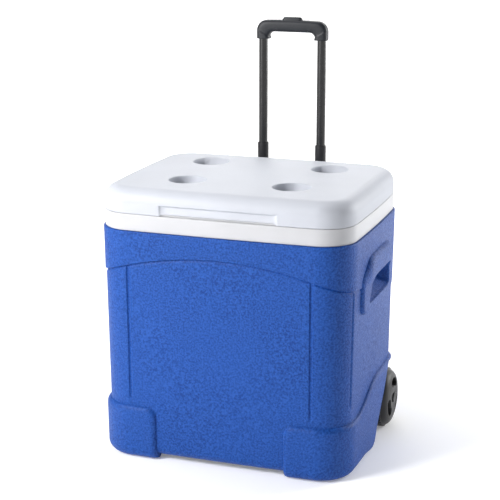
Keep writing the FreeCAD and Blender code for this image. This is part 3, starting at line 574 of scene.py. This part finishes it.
def grip_patch(loop, side):
    """Grip surface on a square grid: rings run from the frame's outline in to the pocket's floor.

    Each ring is a blend of two outlines: frame and mouth, then mouth and floor, then floor and centre.
    """
    line = np.linspace(-1, 1, 121)
    u, v = np.meshgrid(line, line)
    ring = np.maximum(np.abs(u), np.abs(v))
    safe = np.maximum(ring, 1e-6)
    a, b = u / safe, v / safe
    frame_y, frame_z = frame_outline(a, b)
    open_y, open_z = four_sided(a, b, OPEN_LOW, OPEN_HIGH, 9)
    deep_y, deep_z = four_sided(a, b, FLOOR_LOW, FLOOR_HIGH, 6)
    on_frame = np.clip((1 - ring) / (1 - MOUTH_RING), 0, 1)
    in_pocket = np.clip((MOUTH_RING - ring) / (MOUTH_RING - FLOOR_RING), 0, 1)
    on_floor = np.clip((FLOOR_RING - ring) / FLOOR_RING, 0, 1)
    y = frame_y + (open_y - frame_y) * on_frame
    z = frame_z + (open_z - frame_z) * on_frame
    y = y + (deep_y - open_y) * in_pocket
    z = z + (deep_z - open_z) * in_pocket
    y = y + ((FLOOR_LOW[0] + FLOOR_LOW[1]) / 2 - deep_y) * on_floor
    z = z + ((FLOOR_LOW[2] + FLOOR_HIGH[2]) / 2 - deep_z) * on_floor
    swell = np.sin(np.pi * np.clip((z - BAR_Z[0]) / (BAR_Z[1] - BAR_Z[0]), 0, 1)) ** 0.8
    swell = BAR_SWELL * swell * (1 - ease(0.075, 0.118, np.abs(y - GRIP_CENTRE_Y)))
    rise = (FRAME_SINK + FRAME_PROUD) * quarter_round(on_frame / 0.22) - FRAME_SINK
    lip = FRAME_PROUD * (1 - quarter_round((1 - on_frame) / 0.10)) * (on_frame < 1)
    frame_proud = rise + swell * quarter_round(on_frame / 0.3) - lip
    pocket = swell - POCKET_DEPTH * np.sin(in_pocket * math.pi / 2)
    proud = np.where(in_pocket > 0, pocket, frame_proud)
    wall_x = loop.side_c + np.sqrt(loop.side_r ** 2 - y ** 2) - draft(z)
    return np.stack([side * (wall_x + proud), y + BODY_Y, z], axis=-1)


def blue_shell_finish():
    """Pebbled royal-blue polyethylene: rounded pebbles about 4 mm apart with a finer grain on them.

    The pebbles' tops carry a painted highlight: they are painted paler, and they are glossier than the
    hollows. Large soft clouds vary the colour, and scuffs the sheen.
    """
    finish = Finish("blue_polyethylene", Roughness=0.5, Specular_IOR_Level=0.24)
    pebble = finish.noise(270.0, 2.0, 0.6)
    fine = finish.noise(800.0, 2.0, 0.5)
    cloud = finish.noise(7.0, 3.0, 0.5)
    scuff = finish.ramp(finish.noise(24.0, 4.0, 0.65), 0.62, 0.78)
    height = pebble * 0.8 + fine * 0.25
    deep, light = (0.002, 0.034, 0.190), (0.004, 0.046, 0.240)
    body = finish.mix(finish.ramp(cloud, 0.3, 0.7), deep, light)
    # Painted highlight: the raised pebble tops are painted a paler blue, as if light caught them.
    body = finish.mix(finish.ramp(pebble, 0.36, 0.66), body, (0.012, 0.082, 0.370))
    rough = finish.ramp(pebble, 0.3, 0.7, 0.58, 0.44) + scuff * 0.06
    return finish.feed(Base_Color=body, Roughness=rough, Normal=finish.bump(height, 0.0016, 0.8))


def make_shell(finish):
    front_x = runs(0.0, (0.126, 13), (0.1296, 2), (0.1312, 5), (0.135, 4), (0.143, 5),
                   (0.1775, 7), (0.1865, 27))
    side_y = runs(-0.14, (0.014, 26), (0.122, 46), (0.14, 5))
    corner = np.concatenate([runs(0.0, (6, 13), (37, 7)), [37.6, 37.9, 38.2, 38.6],
                             runs(39.0, (70, 7), (79, 16), (90, 4))])
    loop = WallLoop(front_x, side_y, corner)
    rows = shell_rows(loop)
    count = len(loop.x)
    grid_x, grid_y = cap_grid(loop, 0.196, 0.150, 0.04)
    cap = np.stack([grid_x, grid_y, floor_height(grid_x, grid_y)], axis=-1)
    points = np.concatenate([rows.reshape(-1, 3), cap.reshape(-1, 3)])
    points[:, 1] += BODY_Y
    faces = grid_faces(len(rows), count, True)
    faces = [face[::-1] for face in faces if not inside_grip(points, face)]
    faces += cap_faces(loop, (len(rows) - 1) * count, len(rows) * count, flip=True)
    patches = [grip_patch(loop, side) for side in (1, -1)]
    for patch, side in zip(patches, (1, -1)):
        start = len(points)
        points = np.concatenate([points, patch.reshape(-1, 3)])
        quads = grid_faces(patch.shape[0], patch.shape[1], False, start)
        faces += quads if side > 0 else [face[::-1] for face in quads]
    return new_piece("outer_shell_skin", points, faces, finish)


blue_finish = blue_shell_finish()
shell = make_shell(blue_finish)
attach(shell, "cooler_body")
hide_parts("outer_shell")


# ------------------------------------------------------------------ tub and collar
# The white tub is vacuum-formed in one piece with the collar that caps the shell's top edge. Its
# skin is smoother than the lid's.

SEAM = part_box("inner_liner")[1].z
COLLAR_INSET = 0.0037
TUB_INSET = 0.041
TUB_FLOOR = 0.058
TUB_LEDGE = 0.100
TUB_LEDGE_Y = 0.055
TUB_FOOT_ROUND = 0.022
TUB_LIP_ROUND = 0.003
COLLAR_ROUND = 0.0016


def white_finish(name, tint, grain, rough):
    """White polyethylene with a faint moulded grain and a slight warm or cool drift in its tint."""
    finish = Finish(name, Roughness=rough, Specular_IOR_Level=0.45)
    skin = finish.noise(1400.0, 2.0, 0.6)
    cloud = finish.noise(9.0, 3.0, 0.5)
    lighter = tuple(min(1.0, part * 1.04) for part in tint)
    tone = finish.mix(finish.ramp(cloud, 0.35, 0.65), tint, lighter)
    return finish.feed(Base_Color=tone, Roughness=finish.ramp(skin, 0.3, 0.7, rough - 0.05, rough + 0.06),
                       Normal=finish.bump(skin, grain, 0.5))


def tub_floor(x, y):
    """The tub's floor with its raised step over the axle."""
    return TUB_FLOOR + (TUB_LEDGE - TUB_FLOOR) * ease(TUB_LEDGE_Y - 0.004, TUB_LEDGE_Y + 0.004, y) + 0 * x


def make_tub(finish):
    front_x = runs(0.0, (0.17, 12), (0.19, 3))
    side_y = runs(-0.14, (0.045, 14), (0.065, 8), (0.14, 6))
    loop = WallLoop(front_x, side_y, np.linspace(0, 90, 15))
    rows = []

    def add_row(inset, z):
        x, y = loop.offset(inset)
        rows.append(np.stack([x, y, z + 0 * x], axis=-1))

    add_row(COLLAR_INSET + 0.004, SHELL_TOP + 0.0003)
    for step in (0.0, 0.0006, 0.0012):
        add_row(COLLAR_INSET + 0.0006 * (1 - step / 0.0012) ** 2, SHELL_TOP + 0.0003 + step)
    for z in np.linspace(SHELL_TOP + 0.004, SEAM - 0.003, 7):
        add_row(COLLAR_INSET, z)
    for angle in np.radians(np.linspace(0, 90, 6)):
        inset = COLLAR_INSET + COLLAR_ROUND * (1 - math.cos(angle))
        add_row(inset, SEAM - COLLAR_ROUND * (1 - math.sin(angle)))
    for inset in (0.014, 0.026, TUB_INSET - 0.004):
        add_row(inset, SEAM)
    lip = TUB_LIP_ROUND
    for angle in np.radians(np.linspace(0, 90, 6)[1:]):
        add_row(TUB_INSET - lip + lip * math.sin(angle), SEAM - lip * (1 - math.cos(angle)))
    top = SEAM - lip
    taper = 0.003
    foot = TUB_FOOT_ROUND
    end = tub_floor(*loop.offset(TUB_INSET + foot)) + foot
    for share in np.linspace(0, 1, 26)[1:]:
        add_row(TUB_INSET + taper * share, top + (end - top) * share)
    for angle in np.radians(np.linspace(0, 90, 8)[1:]):
        add_row(TUB_INSET + taper + foot * (1 - math.cos(angle)), end - foot * math.sin(angle))
    rows = np.array(rows)
    grid_x, grid_y = cap_grid(loop, 0.170, 0.122)
    cap = np.stack([grid_x, grid_y, tub_floor(grid_x, grid_y)], axis=-1)
    points = np.concatenate([rows.reshape(-1, 3), cap.reshape(-1, 3)])
    points[:, 1] += BODY_Y
    count = len(loop.x)
    faces = grid_faces(len(rows), count, True)
    faces += cap_faces(loop, (len(rows) - 1) * count, len(rows) * count)
    return new_piece("tub_and_collar", points, faces, finish)


collar_finish = white_finish("white_tub_plastic", (0.48, 0.485, 0.505), 0.00012, 0.36)
tub = make_tub(collar_finish)
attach(tub, "cooler_body")
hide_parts("inner_liner")


# ------------------------------------------------------------------ lid shell
# The lid is a hollow white moulding with a softly rounded rim, four shallow can recesses, a finger
# scoop at the front and a notch at the back that clears the pull handle.

LID_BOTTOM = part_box("lid_shell")[0].z
LID_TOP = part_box("lid_shell")[1].z
LID_ROUND = 0.027
CUPS = ((-0.105, -0.081), (0.105, -0.081), (-0.1263, 0.103), (0.1263, 0.103))
CUP_RADIUS = 0.0363
CUP_LIP = 0.0022
CUP_DEPTH = 0.017
CUP_FLOOR_ROUND = 0.006
NOTCH_HALF_X = 0.1245
NOTCH_DEPTH = 0.018
SCOOP_HALF_X = 0.1145
SCOOP_TOP = 0.5118
SCOOP_DEPTH = 0.0054
FINGER_GAP = 0.0034
LID_EDGE_ROUND = 0.0014


def sink_cups(x, y, z):
    """Moves a flat grid's points into the can recesses.

    Round each recess a square block of the grid is drawn onto circles: a point's distance from the
    centre becomes its larger coordinate, and its direction is that of the square's own grid lines.
    """
    block = 0.046
    for cx, cy in CUPS:
        u, v = (x - cx) / block, (y - cy) / block
        ring = np.maximum(np.abs(u), np.abs(v))
        inside = ring < 1
        safe = np.maximum(ring, 1e-9)
        a, b = u / safe, v / safe
        round_a, round_b = a * np.sqrt(1 - b * b / 2), b * np.sqrt(1 - a * a / 2)
        rim = (CUP_RADIUS + CUP_LIP) / block
        squared = ease(rim, 1.0, ring)
        new_x = cx + ring * block * (round_a + (a - round_a) * squared)
        new_y = cy + ring * block * (round_b + (b - round_b) * squared)
        r = ring * block
        lip = np.clip((CUP_RADIUS + CUP_LIP - r) / CUP_LIP, 0, 1)
        drop = CUP_LIP * (1 - np.sqrt(1 - lip ** 2))
        wall = np.clip((CUP_RADIUS - r) / 0.0012, 0, 1)
        drop = drop + (CUP_DEPTH - CUP_LIP - CUP_FLOOR_ROUND) * wall
        bottom = np.clip((CUP_RADIUS - 0.0012 - r) / CUP_FLOOR_ROUND, 0, 1)
        drop = drop + CUP_FLOOR_ROUND * np.sqrt(1 - (1 - bottom) ** 2)
        x = np.where(inside, new_x, x)
        y = np.where(inside, new_y, y)
        z = np.where(inside, z - drop, z)
    return x, y, z


def cup_lines(centre):
    """Grid lines through a recess, close together at its lip, wall and floor edge."""
    half = np.array([0.006, 0.013, 0.020, 0.026, 0.0285, 0.0297, 0.0310, 0.0324, 0.0337, 0.0345, 0.0351,
                     0.0356, 0.0363, 0.0366, 0.0369, 0.0373, 0.0378, 0.0385, 0.0400, 0.0425, 0.0460])
    return np.concatenate([centre - half[::-1], [centre], centre + half])


def lid_displacement(loop, inset, z, low):
    """Inward moves of the lid's wall: the leaning finger scoop in front and the notch behind, whose
    wall stands upright at one depth up to where it meets the rounded shoulder."""
    front = loop.wall == 0
    across = np.where(front, np.abs(loop.x), 1.0)
    ends = quarter_round((SCOOP_HALF_X - across) / 0.015)
    ledge = quarter_round((SCOOP_TOP - z) / 0.0032)
    lean = 0.3 + 0.7 * np.clip((z - low) / (SCOOP_TOP - low), 0, 1)
    scoop = SCOOP_DEPTH * ends * ledge * lean
    behind = np.where(loop.wall == 4, np.abs(loop.x), 1.0)
    to_wall = np.clip(NOTCH_DEPTH + COLLAR_INSET - inset, 0, None)
    return scoop + to_wall * quarter_round((NOTCH_HALF_X - behind) / 0.007)


def inset_at(z):
    """Inset of the lid's wall at a height on its rounded shoulder, a quarter circle."""
    shoulder = LID_TOP - LID_ROUND
    rise = np.clip((z - shoulder) / LID_ROUND, 0, 1)
    return COLLAR_INSET + LID_ROUND * (1 - np.sqrt(1 - rise ** 2))


def make_lid(finish):
    fine = np.concatenate([[0.0], np.abs(cup_lines(0.105)), np.abs(cup_lines(0.1263)), runs(0.17, (0.19, 3)),
                           [0.012, 0.024, 0.036, 0.048],
                           [0.1140, 0.1144, 0.1147, 0.1215, 0.1238, 0.1243, 0.1247]])
    front_x = np.unique(fine.round(5))
    side_y = np.unique(np.concatenate([cup_lines(-0.081), cup_lines(0.103), runs(-0.14, (-0.125, 3)),
                                       runs(-0.033, (0.055, 9))]).round(5))
    loop = WallLoop(front_x, side_y, np.linspace(0, 90, 25))
    scoop_width = np.where(loop.wall == 0, quarter_round((SCOOP_HALF_X - np.abs(loop.x)) / 0.010), 0.0)
    low = LID_BOTTOM + FINGER_GAP * scoop_width
    rows = []

    def add_row(inset, z):
        x, y = loop.offset(inset + lid_displacement(loop, inset, z, low))
        rows.append(np.stack([x, y, z + 0 * x], axis=-1))

    edge = LID_EDGE_ROUND
    add_row(COLLAR_INSET + 0.012, low + 0.001)
    for angle in np.radians(np.linspace(90, 0, 5)):
        add_row(COLLAR_INSET + edge * (1 - math.cos(angle)), low + edge * (1 - math.sin(angle)))
    for share in np.linspace(0, 1, 9)[1:]:
        add_row(COLLAR_INSET, low + edge + share * (SCOOP_TOP - 0.0036 - low - edge))
    for step in (-0.0028, -0.002, -0.0013, -0.0007, -0.0003, 0.0, 0.0006):
        add_row(inset_at(SCOOP_TOP + step), SCOOP_TOP + step)
    shoulder = LID_TOP - LID_ROUND
    start = math.asin((SCOOP_TOP + 0.0015 - shoulder) / LID_ROUND)
    for angle in np.linspace(start, math.pi / 2, 14):
        add_row(COLLAR_INSET + LID_ROUND * (1 - math.cos(angle)), shoulder + LID_ROUND * math.sin(angle))
    for inset in (0.0325, 0.035):
        add_row(inset, LID_TOP)
    rows = np.array(rows)
    grid_x, grid_y = np.meshgrid(loop.xs, loop.ys)
    in_corner = (np.abs(grid_x) / loop.xs[-1]) ** 6 * (np.abs(grid_y) / loop.ys[-1]) ** 6
    stretch_x = 1 + 0.095 * ease(0.166, loop.xs[-1], np.abs(grid_x))
    stretch_y = 1 + np.where(grid_y < 0, 0.19, 0.085) * ease(0.1265, loop.ys[-1], np.abs(grid_y))
    draw_in = 1 - 0.05 * in_corner
    grid_x, grid_y = grid_x * stretch_x * draw_in, grid_y * stretch_y * draw_in
    grid_x, grid_y, grid_z = sink_cups(grid_x, grid_y, LID_TOP + 0 * grid_x)
    cap = np.stack([grid_x, grid_y, grid_z], axis=-1)
    points = np.concatenate([rows.reshape(-1, 3), cap.reshape(-1, 3)])
    points[:, 1] += BODY_Y
    count = len(loop.x)
    faces = grid_faces(len(rows), count, True)
    faces += cap_faces(loop, (len(rows) - 1) * count, len(rows) * count)
    return new_piece("lid_skin", points, faces, finish)


lid_finish = white_finish("white_lid_plastic", (0.46, 0.48, 0.53), 0.00030, 0.50)
lid = make_lid(lid_finish)
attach(lid, "lid")
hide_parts("lid_shell")


# ------------------------------------------------------------------ hinges, lid panel and foam
# The lid's inner panel, the foam and the small fittings keep their CAD shape. Their finishes are
# white mouldings, cream foam, plain steel, gloss black paint and black plastic.

def plain_finish(name, dark, light, rough, metallic=0.0, scale=300.0, depth=0.0001, level=0.5):
    """A moulded or metal surface: fine grain for gloss and relief, slow drift for colour."""
    finish = Finish(name, Metallic=metallic, Specular_IOR_Level=level)
    grain = finish.noise(scale, 3.0, 0.55)
    tone = finish.mix(finish.ramp(finish.noise(18.0, 3.0), 0.3, 0.7), dark, light)
    return finish.feed(Base_Color=tone, Roughness=finish.ramp(grain, 0.3, 0.7, rough - 0.06, rough + 0.06),
                       Normal=finish.bump(grain, depth, 0.5))


foam_finish = plain_finish("cream_foam", (0.70, 0.62, 0.40), (0.80, 0.72, 0.50), 0.9,
                           scale=500, depth=0.0006)
black_finish = plain_finish("black_moulding", (0.016, 0.016, 0.018), (0.024, 0.024, 0.026), 0.55)
steel_finish = plain_finish("zinc_plated_steel", (0.50, 0.50, 0.51), (0.62, 0.62, 0.63), 0.35, metallic=1.0)
tube_finish = plain_finish("gloss_black_paint", (0.004, 0.004, 0.005), (0.006, 0.006, 0.007), 0.24,
                           scale=90, depth=0.00001, level=0.6)


# ------------------------------------------------------------------ tube collars
# A matt black plastic sleeve caps each outer tube. Its mouth guides the inner tube.

def turned(name, profile, place, axis, finish, columns=64, shape=None):
    """A body of revolution from (distance along the axis, radius) points, closed by its profile."""
    profile = np.asarray(profile, float)
    angle = np.linspace(0, 2 * math.pi, columns, endpoint=False)
    along = np.repeat(profile[:, :1], columns, axis=1)
    radius = np.repeat(profile[:, 1:], columns, axis=1)
    turn = np.broadcast_to(angle, along.shape)
    if shape:
        along, radius, turn = shape(along, radius, turn)
    across, upright = radius * np.cos(turn), radius * np.sin(turn)
    if axis == "z":
        points = np.stack([across, upright, along], axis=-1)
    elif axis == "x":
        points = np.stack([along, across, upright], axis=-1)[:, ::-1]
    else:
        points = np.stack([-along, across, upright], axis=-1)
    return grid_piece(name, points + np.asarray(place), finish, closed=True)


SLEEVE_LIP = 0.0016
SLEEVE_MOUTH = 0.0008


def make_sleeve(side, finish):
    """Sleeve turned about its tube: rounded outer lip, rounded mouth and a bore just over the tube."""
    low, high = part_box("tube_collar_" + side)
    tube_low, tube_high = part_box("inner_tube_" + side)
    outer = (high.x - low.x) / 2
    bore = (tube_high.x - tube_low.x) / 2 + 0.0001
    foot = [(low.z, bore + 0.0014), (low.z, outer - 0.0006), (low.z + 0.0006, outer)]
    lip = [(high.z - SLEEVE_LIP * (1 - math.sin(t)), outer - SLEEVE_LIP * (1 - math.cos(t)))
           for t in np.linspace(0, math.pi / 2, 6)]
    mouth = [(high.z - SLEEVE_MOUTH * (1 - math.cos(t)), bore + SLEEVE_MOUTH * (1 - math.sin(t)))
             for t in np.linspace(0, math.pi / 2, 5)]
    inside = [(low.z + 0.02, bore), (low.z, bore + 0.0014)]
    place = ((low.x + high.x) / 2, (low.y + high.y) / 2, 0)
    return turned("collar_sleeve_" + side, foot + lip + mouth + inside, place, "z", finish)


collar_plastic = plain_finish("matt_black_plastic", (0.012, 0.012, 0.014), (0.018, 0.018, 0.020), 0.50,
                              level=0.3)
for side in ("left", "right"):
    sleeve = make_sleeve(side, collar_plastic)
    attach(sleeve, "cooler_body")
    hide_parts("tube_collar_" + side)


# ------------------------------------------------------------------ pull grip
# A charcoal moulding, U-shaped, with a crowned bar and soft edges. It is pressed over the two inner
# tubes and a small lip runs round the foot of each leg.

GRIP_LOW, GRIP_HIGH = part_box("grip")
GRIP_OUT_CORNER = 0.020
GRIP_IN_CORNER = 0.012
GRIP_BAR = 0.025
GRIP_LEG = 0.026
GRIP_CROWN = 0.0022
GRIP_SQUARE = 3.6
FOOT_LIP = 0.0014


def bent_line(half, foot, top, corner, steps):
    """Right half of an upside-down U from the middle of its bar out and down to its foot."""
    bar = [(x, top) for x in np.linspace(0, half - corner, steps[0], endpoint=False)]
    bend = [(half - corner + corner * math.sin(t), top - corner + corner * math.cos(t))
            for t in np.linspace(0, math.pi / 2, steps[1], endpoint=False)]
    leg = [(half, z) for z in np.linspace(top - corner, foot, steps[2])]
    return np.array(bar + bend + leg)


def shrunk(ring, share):
    """A ring of points drawn in towards its own middle."""
    middle = ring.mean(axis=1, keepdims=True)
    return middle + (ring - middle) * share


def make_grip(finish):
    """Cross sections between an outer and an inner bent line; each is a superellipse of power 3.6."""
    half, top = GRIP_HIGH.x, GRIP_HIGH.z
    steps = (14, 12, 12)
    outer = bent_line(half, GRIP_LOW.z, top, GRIP_OUT_CORNER, steps)
    inner = bent_line(half - GRIP_LEG, GRIP_LOW.z, top - GRIP_BAR, GRIP_IN_CORNER, steps)
    outer[:, 1] -= GRIP_CROWN * (outer[:, 0] / half) ** 2 * (outer[:, 1] > top - GRIP_OUT_CORNER)
    near_foot = 1 - ease(GRIP_LOW.z + 0.0036, GRIP_LOW.z + 0.0048, inner[:, 1])
    inner[:, 0] -= FOOT_LIP * near_foot
    outer = np.concatenate([outer[:0:-1] * (-1, 1), outer])
    inner = np.concatenate([inner[:0:-1] * (-1, 1), inner])
    near_foot = np.concatenate([near_foot[:0:-1], near_foot])
    angle = np.linspace(0, 2 * math.pi, 48, endpoint=False)
    cos, sin = np.cos(angle), np.sin(angle)
    power = 2 / GRIP_SQUARE
    across = np.sign(cos) * np.abs(cos) ** power
    deep = np.sign(sin) * np.abs(sin) ** power
    middle, reach = (outer + inner) / 2, (outer - inner) / 2
    thick = (GRIP_HIGH.y - GRIP_LOW.y) / 2
    row_thick = thick * (0.94 + 0.06 * near_foot)
    rows = middle[:, None, :] + reach[:, None, :] * across[None, :, None]
    y = (GRIP_HIGH.y + GRIP_LOW.y) / 2 + row_thick[:, None] * deep[None, :]
    points = np.stack([rows[..., 0], y, rows[..., 1]], axis=-1)
    ends = [shrunk(points[:1], share) for share in (0.001, 0.5, 0.93)]
    tails = [shrunk(points[-1:], share) for share in (0.93, 0.5, 0.001)]
    return grid_piece("pull_grip", np.concatenate(ends + [points] + tails)[:, ::-1], finish, closed=True)


grip_finish = plain_finish("charcoal_grip", (0.006, 0.008, 0.012), (0.010, 0.012, 0.017), 0.46,
                           scale=700, depth=0.00012, level=0.35)
pull_grip = make_grip(grip_finish)
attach(pull_grip, "pull_handle")
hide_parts("grip")


# ------------------------------------------------------------------ release button
# An oval thumb button that stands proud of the grip, with a fine line where a lip runs round it.

def make_button(finish):
    """Rings of a long oval: its straight middle stays and its round ends shrink with each inset."""
    low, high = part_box("release_button")
    half, wide = (high.x - low.x) / 2, (high.y - low.y) / 2
    centre_y = (high.y + low.y) / 2
    angle = np.linspace(0, 2 * math.pi, 72, endpoint=False)
    cos, sin = np.cos(angle), np.sin(angle)
    lip = GRIP_HIGH.z
    profile = [(wide * 0.98, low.z), (0.0004, low.z), (0.0, lip - 0.002), (0.0, lip + 0.0013),
               (0.0004, lip + 0.0018), (0.0012, lip + 0.0020), (0.0013, lip + 0.0024)]
    for t in np.linspace(0, math.pi / 2, 8):
        profile.append((0.0013 + 0.0032 * (1 - math.cos(t)), high.z - 0.0034 + 0.0030 * math.sin(t)))
    profile += [(wide * 0.8, high.z), (wide * 0.98, high.z)]
    rows = []
    for inset, z in profile:
        radius = wide - inset
        straight = (half - wide) * (1 if inset < wide * 0.9 else 0.98)
        x = np.sign(cos) * straight + radius * cos
        rows.append(np.stack([x, centre_y + radius * sin, z + 0 * x], axis=-1))
    return grid_piece("thumb_button", np.array(rows), finish, closed=True)


button_finish = plain_finish("dark_button", (0.012, 0.014, 0.018), (0.018, 0.020, 0.025), 0.42,
                             level=0.35)
thumb_button = make_button(button_finish)
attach(thumb_button, "release")
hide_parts("release_button")


# ------------------------------------------------------------------ wheels
# Each wheel is one hard black plastic moulding: slanted tread blocks, a smooth domed face with three
# kidney-shaped openings and a hollow back.

TREAD_COUNT = 40
TREAD_DEPTH = 0.0022
KIDNEY_COUNT = 3
KIDNEY_RADIUS = 0.0335
KIDNEY_HALF_WIDTH = 0.0085
KIDNEY_HALF_ANGLE = math.radians(33)
KIDNEY_TURN = math.radians(-38)
KIDNEY_DEPTH = 0.0110
HUB_RADIUS = 0.013
AXLE_HOLE = 0.00506


def make_wheel(side, finish):
    """A turned profile: domed face, tread and hollow back. Its rings are then moved in for the
    slanted tread gaps, and along the axle for the curved slots."""
    low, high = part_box("wheel_" + side)
    face = max(abs(low.x), abs(high.x))
    back = min(abs(low.x), abs(high.x))
    radius = (high.z - low.z) / 2
    place = (0, (low.y + high.y) / 2, (low.z + high.z) / 2)
    hub, axle = HUB_RADIUS, AXLE_HOLE
    knots_r = np.array([0, 0.2, 0.45, 0.72, 0.86, 0.95, 1.0]) * (radius - 0.003 - hub) + hub
    knots_x = face - np.array([0.0010, 0.0002, 0.0006, 0.0030, 0.0062, 0.0105, 0.0150])
    dome_r = np.linspace(hub, radius - 0.003, 64)
    dome = smooth_profile(np.stack([np.interp(dome_r, knots_r, knots_x), dome_r], axis=-1))
    hub_ring = [(face - 0.0045, axle), (face - 0.0045, hub - 0.0022), (face - 0.0042, hub - 0.0014)]
    tread = [(face - 0.0157, radius - 0.0009)]
    tread += [(x, radius) for x in np.linspace(face - 0.0165, back + 0.004, 15)]
    rim = [(back + 0.0012, radius - 0.0012), (back, radius - 0.0040), (back, radius - 0.0085)]
    hollow = [(back + 0.0005, radius - 0.0092), (face - 0.0240, radius - 0.0102),
              (face - 0.0150, radius - 0.0220), (face - 0.0135, 0.0125)]
    boss = [(back + 0.0005, 0.0120), (back, 0.0115), (back, axle), (face - 0.0045, axle)]
    profile = hub_ring + dome + tread + rim + hollow + boss

    def mould(along, r, turn):
        on_tread = r > radius - 0.0005
        wave = (turn / (2 * math.pi) * TREAD_COUNT + (along - back) / 0.0115) % 1.0
        edge = np.minimum(wave, 1 - wave)
        cut = 1 - ease(0.10, 0.20, edge)
        shoulder = ease(face - 0.0185, face - 0.0172, along)
        r = r - TREAD_DEPTH * cut * on_tread * (1 - 0.4 * shoulder)
        sector = 2 * math.pi / KIDNEY_COUNT
        centred = (turn - KIDNEY_TURN + sector / 2) % sector - sector / 2
        straight = KIDNEY_HALF_ANGLE - KIDNEY_HALF_WIDTH / KIDNEY_RADIUS
        past = np.clip(np.abs(centred) - straight, 0, None) * KIDNEY_RADIUS
        gap = np.hypot(past, r - KIDNEY_RADIUS) - KIDNEY_HALF_WIDTH
        hole = 1 - ease(-0.0012, 0.0006, gap)
        on_face = along > face - 0.0125
        return along - KIDNEY_DEPTH * hole * on_face, r, turn

    axis = "x" if side == "right" else "-x"
    wheel = turned("wheel_moulding_" + side, profile, place, axis, finish, TREAD_COUNT * 16, mould)
    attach(wheel, "wheel_" + side)
    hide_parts("wheel_" + side)


def smooth_profile(points, passes=10):
    """Rounds a profile's kinks by averaging each point with its neighbours."""
    for _ in range(passes):
        points[1:-1] = (points[:-2] + 2 * points[1:-1] + points[2:]) / 4
    return [tuple(point) for point in points]


wheel_finish = plain_finish("black_wheel_plastic", (0.009, 0.009, 0.010), (0.015, 0.015, 0.016), 0.45,
                            scale=600, depth=0.0002, level=0.35)
for side in ("left", "right"):
    make_wheel(side, wheel_finish)


# ------------------------------------------------------------------ the CAD pieces that stay
# Brackets, screws, axle, washers, caps, hinges, drain, foam and the parts inside the handle.

finishes = {
    "blue_plastic": blue_finish,
    "white_plastic": collar_finish,
    "lid_plastic": lid_finish,
    "foam": foam_finish,
    "black_plastic": black_finish,
    "grip_plastic": grip_finish,
    "button_plastic": button_finish,
    "wheel_plastic": wheel_finish,
    "tube_paint": tube_finish,
    "steel": steel_finish,
}
for row in frame["record"]["subparts"]:
    thing = frame["nodes"].get(row["node"])
    if thing:
        thing.data.materials.clear()
        thing.data.materials.append(finishes[row["material_slot"]].material)
